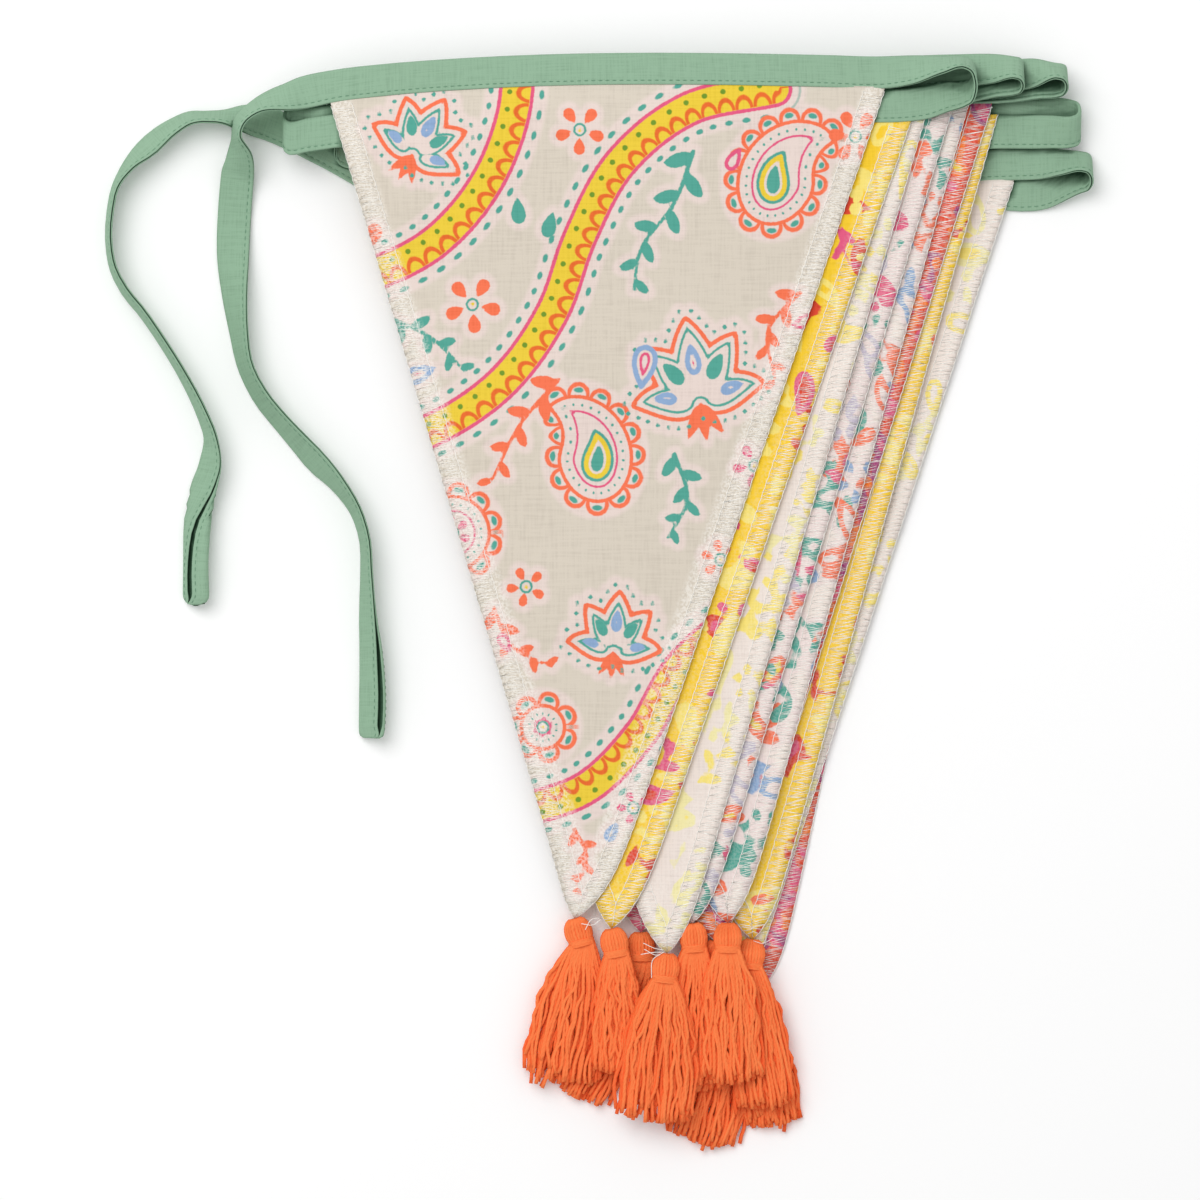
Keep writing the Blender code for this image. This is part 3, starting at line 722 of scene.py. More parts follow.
def tube_faces(start, rings, sides):
    """The quads between a tube's rings, whose vertices are numbered from start, then its two end caps."""
    first = start + np.arange(rings - 1)[:, None] * sides
    one = np.arange(sides)
    two = (one + 1) % sides
    quads = np.stack((first + one, first + one + sides, first + two + sides, first + two), -1)
    last = start + (rings - 1) * sides
    caps = [list(range(start, start + sides)), list(range(last, last + sides))[::-1]]
    return quads.reshape(-1, 4).tolist() + caps


class Bundle:
    """Tubes gathered into one mesh."""

    def __init__(self, sides):
        self.sides = sides
        self.angles = np.arange(sides) * math.tau / sides
        self.places, self.faces = [], []
        self.count = 0
        self.marks = {"along": [], "turn_x": [], "turn_y": [], "tone_and_shade": []}

    def add(self, line, radius, reference, tone_and_shade=0.0):
        """A tube along line, which never takes the direction of reference."""
        line = np.array(line, float)
        line[:, 2] = np.maximum(line[:, 2], radius)
        run = unit(np.gradient(line, axis=0))
        side = unit(np.cross(run, reference))
        rise = np.cross(side, run)
        ring = np.cos(self.angles)[:, None] * side[:, None] + np.sin(self.angles)[:, None] * rise[:, None]
        rings = len(line)
        self.places.append((line[:, None] + radius * ring).reshape(-1, 3))
        self.faces += tube_faces(self.count, rings, self.sides)
        self.count += rings * self.sides
        self.marks["along"].append(np.repeat(so_far(spans_of(line)), self.sides))
        self.marks["turn_x"].append(np.tile(np.cos(2.0 * self.angles), rings))
        self.marks["turn_y"].append(np.tile(np.sin(2.0 * self.angles), rings))
        self.marks["tone_and_shade"].append(np.full(rings * self.sides, tone_and_shade))

    def finish(self, name, material):
        piece = make_mesh(name, np.concatenate(self.places), self.faces, material)
        for mark, values in self.marks.items():
            add_mark(piece, mark, np.concatenate(values))
        return piece


# Materials

def linear(srgb):
    """A colour of 0 to 255 as the shaders take it."""
    return (*[((c / 255 + 0.055) / 1.055) ** 2.4 if c > 10 else c / 255 / 12.92 for c in srgb], 1.0)


def new_material(name, roughness):
    """A material, and its shader's inputs."""
    material = bpy.data.materials.new(name)
    material.use_nodes = True
    inputs = material.node_tree.nodes["Principled BSDF"].inputs
    inputs["Roughness"].default_value = roughness
    return material, inputs


def plain_cloth(name, colour, roughness):
    material, inputs = new_material(name, roughness)
    inputs["Base Color"].default_value = linear(colour)
    return material


class Graph:
    """Short calls for the nodes of one material."""

    def __init__(self, name, roughness):
        self.material, self.inputs = new_material(name, roughness)
        self.inputs["Specular IOR Level"].default_value = SPECULAR
        self.tree = self.material.node_tree

    def node(self, kind, *values, **settings):
        """A node with its first inputs linked or set."""
        node = self.tree.nodes.new(kind)
        for key, value in settings.items():
            setattr(node, key, value)
        for socket, value in zip(node.inputs, values):
            self.put(socket, value)
        return node

    def put(self, socket, value):
        if isinstance(value, bpy.types.NodeSocket):
            self.tree.links.new(value, socket)
        else:
            socket.default_value = value

    def math(self, operation, *values, clamp=False):
        return self.node("ShaderNodeMath", *values, operation=operation, use_clamp=clamp).outputs[0]

    def add(self, one, other, clamp=False):
        return self.math("ADD", one, other, clamp=clamp)

    def times(self, one, other):
        return self.math("MULTIPLY", one, other)

    def mapped(self, value, factor, offset, clamp=False):
        return self.math("MULTIPLY_ADD", value, factor, offset, clamp=clamp)

    def length(self, x, y):
        return self.math("SQRT", self.add(self.times(x, x), self.times(y, y)))

    def mark(self, name):
        """A number that the mesh holds at each vertex."""
        return self.node("ShaderNodeAttribute", attribute_name=name).outputs["Fac"]

    def scaled(self, place, factors):
        return self.node("ShaderNodeVectorMath", place, factors, operation="MULTIPLY").outputs[0]

    def point(self):
        """The place on the object, in millimetres."""
        return self.scaled(self.node("ShaderNodeTexCoord").outputs["Object"], (1 / MM,) * 3)

    def noise(self, place, lengths, detail=1.0):
        """Soft noise, with grains of those lengths in millimetres."""
        noise = self.node("ShaderNodeTexNoise", self.scaled(place, [1 / length for length in lengths]))
        noise.inputs["Scale"].default_value = 1.0
        noise.inputs["Detail"].default_value = detail
        return noise.outputs["Fac"]

    def mix(self, share, below, above):
        """The colour above over the one below, by share."""
        node = self.node("ShaderNodeMix", data_type="RGBA")
        self.put(node.inputs[0], share)
        self.put(node.inputs[6], below)
        self.put(node.inputs[7], above)
        return node.outputs[2]

    def inside(self, distance, reach=0.0, soft=INK_SOFT):
        """1 where distance is under reach, with a soft edge."""
        return self.mapped(distance, -1.0 / soft, 0.5 + reach / soft, clamp=True)

    def ring(self, distance, at, half):
        """1 where distance is within half of at."""
        return self.inside(self.math("ABSOLUTE", self.math("SUBTRACT", distance, at)), half)

    def repeat(self, along, pitch):
        """How far along lies from the middle of its own repeat."""
        turns = self.math("FRACT", self.math("DIVIDE", along, pitch))
        return self.times(self.math("SUBTRACT", turns, 0.5), pitch)

    def dots(self, distance, along, at, pitch, radius, longer=1.0):
        """A row of dots beside a line."""
        x = self.math("DIVIDE", self.repeat(along, pitch), longer)
        return self.inside(self.length(x, self.math("SUBTRACT", distance, at)), radius)

    def scallops(self, distance, along, at, height, pitch, half):
        """A row of round arches that stand on a line."""
        x = self.math("DIVIDE", self.repeat(along, pitch), 0.5 * pitch)
        y = self.math("DIVIDE", self.math("SUBTRACT", distance, at), height)
        arch = self.ring(self.times(self.length(x, y), 0.5 * pitch), 0.5 * pitch - half, half)
        return self.times(arch, self.math("GREATER_THAN", y, 0.0))

    def finish(self, colour, height, depth):
        """Colour and relief to the shader; depth is in millimetres."""
        bump = self.node("ShaderNodeBump")
        bump.inputs["Distance"].default_value = depth * MM
        self.put(bump.inputs["Height"], height)
        self.put(self.inputs["Base Color"], colour)
        self.put(self.inputs["Normal"], bump.outputs[0])
        return self.material


def weave(graph, place, pitch):
    """Crossing threads, from 0 to 1."""
    warp = graph.noise(place, (pitch, SLUB, SLUB))
    weft = graph.noise(place, (SLUB, pitch, SLUB))
    return graph.add(graph.times(warp, 0.5), graph.times(weft, 0.5))


def mottle_and_weave_shade(graph, place, threads, colour, contrast=1.0):
    """Colour that varies a little from thread to thread, darker where the weave sinks (painted shade between
    the threads), and from place to place in random patches.
    """
    patches = graph.times(graph.noise(place, (PATCH,) * 3, 2.0), PATCH_SHARE)
    shade = graph.add(graph.times(threads, contrast), patches)
    # painted shade where the weave's relief is low, plus random patches
    darker = graph.math("SUBTRACT", 0.5 * (contrast + PATCH_SHARE) + MOTTLE_SHADE_SHARE, shade, clamp=True)
    dark = graph.node("ShaderNodeHueSaturation")
    dark.inputs["Value"].default_value = MOTTLE_SHADE_VALUE
    dark.inputs["Saturation"].default_value = MOTTLE_SHADE_SATURATION
    graph.put(dark.inputs["Color"], colour)
    return graph.mix(darker, colour, dark.outputs[0])


def printed_lines(graph, fields):
    """The outlines' distances, a little uneven as ink on woven threads is."""
    uneven = graph.mapped(graph.noise(graph.point(), (INK_GRAIN,) * 3), 2 * INK_UNEVEN, -INK_UNEVEN)
    return [graph.add(graph.mark(f"{field}_d"), uneven) for field in fields]


def finish_cloth(graph, colour, inks, hidden):
    """Each ink over the ones before it on woven cloth, paler where the overlock's fine threads hide it."""
    colour = linear(colour)
    for mask, ink in inks:
        colour = graph.mix(mask, colour, linear(ink))
    place = graph.point()
    threads = weave(graph, place, WEAVE_PITCH)
    colour = mottle_and_weave_shade(graph, place, threads, colour)
    loops = graph.mapped(graph.noise(place, (LOOP_GRAIN,) * 3), *LOOP_TONE, clamp=True)
    band = graph.times(graph.inside(graph.mark("edge"), BAND, LOOP_EASE), loops)
    colour = graph.mix(graph.times(band, hidden), colour, linear(THREAD_WHITE))
    return graph.finish(colour, threads, WEAVE_DEPTH)


def front_material():
    """Taupe cloth with a paisley print: each ink lies at its own distance from a motif's outline."""
    graph = Graph("front", CLOTH_ROUGHNESS)
    band, boteh, leaf, core, bloom, coral, teal, pink, blue, beside = printed_lines(
        graph, (*FIELD_NAMES, "band_side"))
    band_run, boteh_run = graph.mark("band_s"), graph.mark("boteh_s")
    inside, ring, dots, scallops = graph.inside, graph.ring, graph.dots, graph.scallops
    within = inside(beside, BAND_HALF)
    inks = (
        (inside(graph.mark("halo_d"), *FRONT_HALO), PALE),
        (dots(beside, band_run, 7.6, BAND_PITCH, 0.75, 1.7), INK_TEAL),
        (inside(beside, BAND_RIM), INK_PINK),
        (within, INK_YELLOW),
        (graph.times(within, scallops(band, band_run, -4.1, 4.2, BAND_PITCH, 0.5)), INK_AMBER),
        (graph.times(within, dots(band, band_run, 2.0, BAND_PITCH, 0.8)), INK_GREEN),
        (scallops(boteh, boteh_run, 0.2, 4.2, SCALLOP_PITCH, 0.5), INK_CORAL),
        (dots(boteh, boteh_run, 2.0, SCALLOP_PITCH, 0.8, 1.5), INK_TEAL),
        (ring(boteh, 0.0, 0.55), INK_CORAL),
        (dots(boteh, boteh_run, -2.4, SCALLOP_PITCH / 2, 0.42), INK_TEAL),
        (ring(boteh, -4.3, 0.32), INK_PINK),
        (ring(leaf, -0.1, 0.62), INK_CORAL),
        (ring(leaf, -2.3, 0.36), INK_TEAL),
        (inside(core, 0.6), INK_TEAL),
        (inside(core, -0.3), INK_YELLOW),
        (inside(core, -1.7), PALE),
        (inside(core, -2.4), INK_TEAL),
        (inside(coral), INK_CORAL),
        (inside(teal), INK_TEAL),
        (inside(pink), INK_PINK),
        (inside(pink, -1.1), PALE),
        (inside(pink, -2.0), INK_CORAL),
        (inside(blue), INK_BLUE),
        (inside(blue, -1.5), PALE),
        (inside(blue, -2.2), INK_PINK),
        (inside(blue, -3.0), PALE),
        (inside(bloom, 1.7), PALE),
        (ring(bloom, 1.7, 0.32), INK_TEAL),
        (inside(bloom, 0.7), INK_YELLOW),
    )
    return finish_cloth(graph, TAUPE, inks, FRONT_COVER)


def printed_material(name, ground, halo, inks):
    """Cloth with a print of strewn motifs: the ink of each field, and of its heart."""
    graph = Graph(name, CLOTH_ROUGHNESS)
    layers = [(graph.inside(graph.mark("halo_d"), *HALO), halo)]
    for distance, (outer, heart) in zip(printed_lines(graph, INK_FIELDS), inks):
        layers.append((graph.inside(distance), outer))
        layers.append((graph.inside(distance, HEART), heart))
    return finish_cloth(graph, ground, layers, COVER)


def tape_material():
    """Sage tape with painted shade on its inner face and in its hollows: the weave runs along the strip."""
    graph = Graph("tape", CLOTH_ROUGHNESS)
    place = graph.node("ShaderNodeCombineXYZ", graph.mark("along"), graph.mark("around"), 0.0).outputs[0]
    threads = weave(graph, place, TAPE_WEAVE)
    height = graph.add(threads, graph.times(graph.noise(place, PUCKERS), PUCKER_HEIGHT))
    # painted shade on the inner face of the folded tape
    colour = graph.mix(graph.mark("lining"), linear(SAGE), linear(SAGE_SHADE))
    # painted shade where cloth close by hems the tape in
    hollow_shade = graph.mapped(graph.mark("hollow_shade"), *HOLLOW_SHADE_RAMP, clamp=True)
    colour = graph.mix(hollow_shade, colour, linear(SAGE_HOLLOW_SHADE))
    return graph.finish(mottle_and_weave_shade(graph, place, threads, colour, TAPE_CONTRAST), height, TAPE_DEPTH)


def yarn_material():
    """Two-ply yarn: its twist as relief, and a tone of its own for each length, with painted shade on the
    rows under the top one and between the plies.
    """
    graph = Graph("yarn", YARN_ROUGHNESS)
    tone_and_shade = graph.mark("tone_and_shade")
    run = graph.mapped(graph.mark("along"), math.tau / YARN_TWIST, graph.times(tone_and_shade, TONE_SHIFT))
    wave = graph.add(
        graph.times(graph.math("SINE", run), graph.mark("turn_x")),
        graph.times(graph.math("COSINE", run), graph.mark("turn_y")),
    )
    height = graph.mapped(wave, 0.5, 0.5)
    # painted shade in the groove between the two plies
    between = graph.times(graph.math("SUBTRACT", 1.0, height), PLY_GROOVE_SHADE)
    share = graph.add(graph.times(tone_and_shade, TONE_AND_SHADE_SHARE), between, clamp=True)
    fuzz = graph.times(graph.noise(graph.point(), (FUZZ_GRAIN,) * 3), FUZZ_HEIGHT)
    graph.inputs["Sheen Weight"].default_value = YARN_SHEEN
    graph.inputs["Sheen Roughness"].default_value = SHEEN_ROUGHNESS
    graph.inputs["Sheen Tint"].default_value = linear(YARN_FUZZ)
    colour = graph.mix(share, linear(ORANGE), linear(YARN_DARK))
    return graph.finish(colour, graph.add(height, fuzz), YARN_DEPTH)


def build_materials():
    return {
        "front": front_material(),
        **{name: printed_material(name, *colours) for name, colours in PRINTS.items()},
        "tape": tape_material(),
        "thread": plain_cloth("thread", THREAD_WHITE, THREAD_ROUGHNESS),
        "stitch": plain_cloth("stitch", STITCH_GREEN, THREAD_ROUGHNESS),
        "yarn": yarn_material(),
    }


# Prints

class Field:
    """Signed distance from the nearest of many outlines, and the way along that outline."""

    def __init__(self, points):
        self.points = points
        self.distance = np.full(len(points), FAR)
        self.along = np.zeros(len(points))

    def add(self, outline, closed=True, pitch=1.0):
        """Inside a closed outline, or to the right of an open line, the distance is negative."""
        outline = np.asarray(outline, float)
        low, high = outline.min(axis=0) - FAR, outline.max(axis=0) + FAR
        near = np.flatnonzero(((self.points > low) & (self.points < high)).all(axis=1))
        if not len(near):
            return
        points = self.points[near][:, None]
        start = outline if closed else outline[:-1]
        end = np.roll(outline, -1, axis=0) if closed else outline[1:]
        side = end - start
        size = np.hypot(*side.T) + TINY
        share = np.clip(((points - start) * side).sum(-1) / size ** 2, 0.0, 1.0)
        reach = np.linalg.norm(points - start - share[..., None] * side, axis=-1)
        nearest = reach.argmin(axis=1)
        pick = np.arange(len(near)), nearest
        marks = so_far(size)
        run = marks[nearest] + share[pick] * size[nearest]
        if closed:
            run *= max(round(marks[-1] / pitch), 1) * pitch / marks[-1]
            crosses = (start[:, 1] > points[..., 1]) != (end[:, 1] > points[..., 1])
            slope = side[:, 0] / np.where(side[:, 1] == 0.0, TINY, side[:, 1])
            left = points[..., 0] < start[:, 0] + (points[..., 1] - start[:, 1]) * slope
            flip = np.where((crosses & left).sum(axis=1) % 2, -1.0, 1.0)
        else:
            flip = np.sign(cross(side[nearest], self.points[near] - start[nearest]))
        signed = reach[pick] * flip
        held = self.distance[near]
        better = signed < held if closed else np.abs(signed) < np.abs(held)
        self.distance[near] = np.where(better, signed, held)
        self.along[near] = np.where(better, run, self.along[near])

    def add_spots(self, places, radius):
        for place in places:
            away = np.linalg.norm(self.points - place, axis=1) - radius
            self.distance = np.minimum(self.distance, away)


def drop_outline(length, width, curl=0.0, sharp=1.0, points=DROP_POINTS):
    """A drop from its round end at 0 to its point, bent round by curl radians."""
    angle = np.arange(points) * math.tau / points
    x = length * (0.5 + 0.5 * np.cos(angle))
    if sharp == BOTH_SHARP:
        y = width / 2 * np.sin(angle) * np.abs(np.sin(angle)) ** 0.5
    else:
        y = width * DROP_FULLNESS * np.sin(angle) * np.sin(angle / 2) ** sharp
    spine = np.linspace(0.0, 1.0, SPINE_POINTS)
    headings = curl * spine ** CURL_POWER
    spine_x, spine_y = (
        so_far(part)[:-1] * length / SPINE_POINTS for part in (np.cos(headings), np.sin(headings))
    )
    heading = curl * (x / length) ** CURL_POWER
    across = np.interp(x / length, spine, spine_x) - y * np.sin(heading)
    up = np.interp(x / length, spine, spine_y) + y * np.cos(heading)
    return np.column_stack((across, up))


def sized_drop(size, length, width, *bend):
    return drop_outline(length * size, width * size, *bend)


def placed(outline, x, y, turn, mirror=False):
    """An outline turned by degrees and moved."""
    points = outline * ((1.0, -1.0) if mirror else (1.0, 1.0))
    cos, sin = math.cos(math.radians(turn)), math.sin(math.radians(turn))
    turned = (points[:, 0] * cos - points[:, 1] * sin, points[:, 0] * sin + points[:, 1] * cos)
    return np.column_stack(turned) + (x, y)


def add_boteh(fields, x, y, size, turn, mirror):
    """A paisley with a drop at its heart."""
    outline = sized_drop(size, *BOTEH)
    fields["boteh"].add(placed(outline, x, y, turn, mirror), pitch=SCALLOP_PITCH)
    heart = sized_drop(size, *BOTEH_HEART) + np.multiply(BOTEH_HEART_PLACE, size)
    fields["core"].add(placed(heart, x, y, turn, mirror))


def add_round(fields, x, y, size):
    """A scalloped round with a flower in it."""
    angle = np.arange(ROUND_POINTS) * math.tau / ROUND_POINTS
    circle = np.column_stack((np.cos(angle), np.sin(angle))) * size
    fields["boteh"].add(circle + (x, y), pitch=SCALLOP_PITCH)
    share, petals, ink = ROUND_FLOWER
    add_bloom(fields, x, y, size * share, petals, ink)


def shifted(outline, reach):
    """An outline moved sideways."""
    along = unit(np.roll(outline, -1, axis=0) - np.roll(outline, 1, axis=0) + TINY)
    return outline + np.column_stack((along[:, 1], -along[:, 0])) * reach


def spots_round(outlines, reach, pitch):
    """Places at one distance from the nearest of some outlines, a pitch or more apart."""
    rims = [shifted(outline, side * reach) for outline in outlines for side in (-1, 1)]
    closed = Field(np.concatenate(rims))
    for outline in outlines:
        closed.add(outline)
    places = []
    for place in closed.points[np.abs(closed.distance - reach) < SPOT_SLACK]:
        if all(np.linalg.norm(place - other) > pitch for other in places):
            places.append(place)
    return places


def add_palmette(fields, x, y, size, turn):
    """A fan of pointed leaves, each with one of another colour in it, in a round of spots."""
    blades = []
    inner_length, inner_width, inner_place, inner_points = INNER_BLADE
    for blade, heart in BLADES:
        length = size * (1.0 - BLADE_SHRINK * abs(blade) / WIDEST_BLADE)
        bend = BLADE_CURL * blade / WIDEST_BLADE, BLADE_SHARP
        outline = placed(sized_drop(length, 1.0, BLADE_WIDTH, *bend, BLADE_POINTS), x, y, turn + blade)
        fields["leaf"].add(outline)
        blades.append(resample(np.vstack((outline, outline[:1])), BLADE_STEP))
        inner = sized_drop(length, inner_length, inner_width, *bend, inner_points)
        place = (length * inner_place, 0.0)
        fields[heart].add(placed(inner + place, x, y, turn + blade))
    for blade in SEPALS:
        fields["coral"].add(placed(sized_drop(size, *SEPAL), x, y, turn + blade))
    reach, pitch, radius = SPOTS
    fields["teal"].add_spots(spots_round(blades, reach, pitch), radius)


def add_bloom(fields, x, y, size, count, ink):
    """A flower of drops round a middle."""
    petal = sized_drop(size, *PETAL) * (-1, 1) + (size, 0.0)
    for turn in range(count):
        fields[ink].add(placed(petal, x, y, 360.0 * turn / count + BLOOM_TURN * size))
    if "bloom" in fields:
        fields["bloom"].add_spots([(x, y)], 0.0)


def add_sprig(fields, line, ink, leaf):
    """A stem with leaves to both sides that grow smaller to its end."""
    stem = resample(line, SPRIG_STEP)
    half = np.linspace(*STEM_WIDTH, len(stem))[:, None]
    run = unit(np.gradient(stem, axis=0))
    normal = np.column_stack((-run[:, 1], run[:, 0]))
    fields[ink].add(np.concatenate((stem + normal * half, (stem - normal * half)[::-1])))
    step = max(int(leaf * LEAF_PITCH / SPRIG_STEP), 2)
    for turn, place in enumerate(range(1, len(stem), step)):
        share = 1.0 - LEAF_SHRINK * place / len(stem)
        heading = math.degrees(math.atan2(run[place, 1], run[place, 0]))
        side = 1 if turn % 2 else -1
        width = leaf * LEAF_WIDTH * share
        outline = drop_outline(leaf * share, width, LEAF_CURL * side, BOTH_SHARP, LEAF_POINTS)
        fields[ink].add(placed(outline, *stem[place], heading + side * LEAF_TURN))


def add_halo(fields):
    """Distance from the nearest ink of any kind."""
    solid = [fields[name].distance for name in INK_FIELDS]
    if "band" in fields:
        solid += [fields[name].distance - reach for name, reach in HALO_REACH.items()]
        solid.append(np.abs(fields["band"].distance) - HALO_BAND)
    fields["halo"] = Field(fields["coral"].points)
    fields["halo"].distance = np.min(solid, axis=0)


def front_fields(points):
    """The distance fields that the front flag's material draws its print from."""
    fields = {name: Field(points) for name in FIELD_NAMES}
    for line in BANDS:
        fields["band"].add(resample(line, BAND_STEP), closed=False)
    for add, rows in (
        (add_boteh, BOTEHS),
        (add_round, ROUNDS),
        (add_palmette, PALMETTES),
        (add_bloom, BLOOMS),
        (add_sprig, SPRIGS),
    ):
        for row in rows:
            add(fields, *row)
    for x, y, length, turn, ink in DROPS:
        fields[ink].add(placed(drop_outline(length, length * DROP_WIDTH), x, y, turn))
    add_halo(fields)
    return fields


def strewn_fields(points, seed, spacing):
    """Sprigs, flowers and drops strewn over a flag."""
    random = np.random.default_rng(seed)
    fields = {name: Field(points) for name in INK_FIELDS}
    low, high = points.min(axis=0), points.max(axis=0)
    for row, y in enumerate(np.arange(low[1], high[1], spacing * STREW_ROWS)):
        for x in np.arange(low[0] + (row % 2) * spacing / 2, high[0], spacing):
            place = np.array([x, y]) + random.uniform(-STREW_STRAY, STREW_STRAY, 2)
            ink, kind = random.choice(INK_FIELDS), random.integers(4)
            turn = random.uniform(0.0, 360.0)
            if np.linalg.norm(points - place, axis=1).min() > USUAL_SPACING:
                continue
            if kind == 0:
                reach, leaf = STREW_SPRIG
                run = np.array([math.cos(math.radians(turn)), math.sin(math.radians(turn))])
                add_sprig(fields, [place - run * reach, place + run[::-1], place + run * reach], ink, leaf)
            elif kind == 1:
                size, petals = random.uniform(*STREW_BLOOM), int(random.integers(*STREW_PETALS))
                add_bloom(fields, *place, size, petals, ink)
            else:
                length = random.uniform(*STREW_DROP)
                curl = random.uniform(-STREW_CURL, STREW_CURL)
                outline = drop_outline(length, length * STREW_WIDTH, curl)
                fields[ink].add(placed(outline, *place, turn))
    add_halo(fields)
    return fields


def paint_flag(piece, points, index):
    """The marks that the flag's print is drawn from."""
    spacing = STREW_SPACING.get(FLAGS[index]["cloth"], USUAL_SPACING)
    fields = front_fields(points) if index == 0 else strewn_fields(points, STREW_SEED + index, spacing)
    for name, field in fields.items():
        add_mark(piece, f"{name}_d", field.distance)
        if name in RUN_FIELDS:
            add_mark(piece, f"{name}_s", field.along)
    if "band" in fields:
        add_mark(piece, "band_side_d", np.abs(fields["band"].distance))


# Flags

def grid_rows(rows):
    """A triangular grid: across and up for each vertex, row by row from the tip, and its faces."""
    row = np.repeat(np.arange(rows + 1), np.arange(rows + 1) + 1)
    column = np.concatenate([np.arange(count + 1) for count in range(rows + 1)])
    across = np.where(row > 0, 2.0 * column / np.maximum(row, 1) - 1.0, 0.0)
    start = np.flatnonzero(row < rows)
    below = start + row[start] + 1
    inner = start[column[start] < row[start]]
    faces = np.column_stack((start, below + 1, below)).tolist()
    faces += np.column_stack((inner, inner + 1, inner + row[inner] + 2)).tolist()
    return across, row / rows, faces


def build_flag(index, materials):
    """A flag's cloth, tucked into the binding at its top."""
    across, up, faces = grid_rows(FRONT_ROWS if index == 0 else FLAG_ROWS)
    if index != FLIPPED_PASS:
        up = up * (1.0 + TUCK / flag_height(index))
    places = flag_surface(index, across, up)
    name = numbered("flag", index)
    piece = make_mesh(f"{name}_cloth", places, faces, materials[FLAGS[index]["cloth"]])
    left, right, tip = CORNERS[index]
    edges = [line_distance(places[:, :2], edge) for edge in ((left, tip), (tip, right))]
    add_mark(piece, "edge", np.min(edges, axis=0))
    paint_flag(piece, places[:, :2], index)
    solid = piece.modifiers.new("Thickness", "SOLIDIFY")
    solid.thickness = CLOTH_THICK * MM
    solid.offset = 0.0
    return seat(piece, FLAGS[index]["slot"], [name])


def beside_edge(index, side, run, inwards, rise):
    """Points along a slanted edge, so far inwards from it and so far off the middle of the cloth."""
    left, right, _ = CORNERS[index]
    length = edge_length(index, side)
    up = np.clip(run / length, 0.0, 1.0)
    half = up * np.linalg.norm(right - left) / 2 + tip_widening(up * length, up)
    wide = np.maximum(half, NARROWEST)
    share = np.where(inwards < 0.0, 1.0 - inwards / wide, np.maximum(half - inwards, 0.0) / wide)
    places = flag_surface(index, side * share, up)
    places[:, 2] += rise
    return places


def zigzag(index, side, rise, shift, random):
    """The looper thread on one face: from the needle's line to the edge and back."""
    run = np.arange(LOOP_START, edge_length(index, side) - LOOP_END, LOOP_PITCH / 2) + shift * LOOP_PITCH
    run = run + random.normal(0.0, LOOP_PITCH * LOOP_STRAY, len(run))
    inwards = np.where(np.arange(len(run)) % 2, BAND, LOOP_OUT) + random.normal(0.0, LOOP_UNEVEN, len(run))
    fine = np.arange(len(run) * 2 - 1) / 2
    stops = np.arange(len(run))
    return beside_edge(index, side, np.interp(fine, stops, run), np.interp(fine, stops, inwards), rise)


def build_overlock(index, materials):
    """White stitching round both slanted edges: looper threads on each face, a needle line, an edge chain."""
    bundle = Bundle(THREAD_SIDES)
    random = np.random.default_rng(OVERLOCK_SEED + index)
    above = CLOTH_THICK / 2 + THREAD * THREAD_PROUD
    for side in (-1, 1):
        run = np.arange(CHAIN_START, edge_length(index, side), LOOP_PITCH / 2)
        for face, shift in LOOPERS:
            bundle.add(zigzag(index, side, face * above, shift, random), THREAD, UP)
        wander = CHAIN_WANDER * np.sin(run * math.pi / LOOP_PITCH * CHAIN_BEAT)
        needle = beside_edge(index, side, run, BAND + wander, above + NEEDLE_RISE)
        bundle.add(needle, THREAD * NEEDLE_THREAD, UP)
        chain = beside_edge(index, side, run, CHAIN_OUT + wander, CHAIN_ROLL * wander)
        bundle.add(chain, THREAD * CHAIN_THREAD, UP)
    for tail in TAILS.get(index, ()):
        line = np.array(tail) + (0.0, 0.0, tip_place(index)[2])
        bundle.add(resample(line, TAIL_STEP), THREAD, UP)
    return seat(bundle.finish(numbered("flag", index) + "_overlock", materials["thread"]))


# Binding

def station(place, z, tilt, edge, *shape):
    """One section of the tape: its middle, the direction of its sewn edge, and its shape."""
    flat = math.cos(tilt)
    return [place[0], place[1], z, edge[0] * flat, edge[1] * flat, math.sin(tilt), *shape]


def on_stack(layer, place, edge):
    """Height at which a layer carries the tape, and the slope across the tape there."""
    half = np.asarray(edge) * (TAPE_WIDTH / 2)
    far, near = lift(layer, [place - half, place + half])
    return (far + near) / 2, math.atan2(near - far, TAPE_WIDTH)


def pass_stations(index):
    """The binding along one flag's top edge, left to right."""
    stations = []
    for step in range(PASS_SPANS + 1):
        place, up = tape_centre(index, step / PASS_SPANS)
        height, slope = on_stack(pass_layer(index), place, -up)
        stations.append(station(place, TAPE_THICK / 2 + height, slope, -up, *FLAT_SHAPE))
    return stations


def leg_rows(start, turn, leg, layer, outward):
    """From the end of a pass to where the tape starts to turn round, rising and tilting on the way."""
    flat = turn[leg + "_flat"]
    end = (turn["reach"] - outward * turn["radius"], turn[leg + "_y"])
    rows = []
    for share in LEG_STEPS:
        eased = float(smooth((share - flat) / (1.0 - flat)))
        sag = turn["lower_sag"] * math.sin(share * math.pi) if leg == "lower" else 0.0
        y = lerp(start[1], end[1], float(smooth(share))) - sag
        place = np.array([lerp(start[0], end[0], share), y])
        height, slope = on_stack(layer, place, DOWN)
        z = TAPE_THICK / 2 + height + turn[leg + "_rise"] * eased
        rows.append((place[0], place[1], z, slope + math.radians(turn[leg + "_tilt"]) * eased))
    return rows


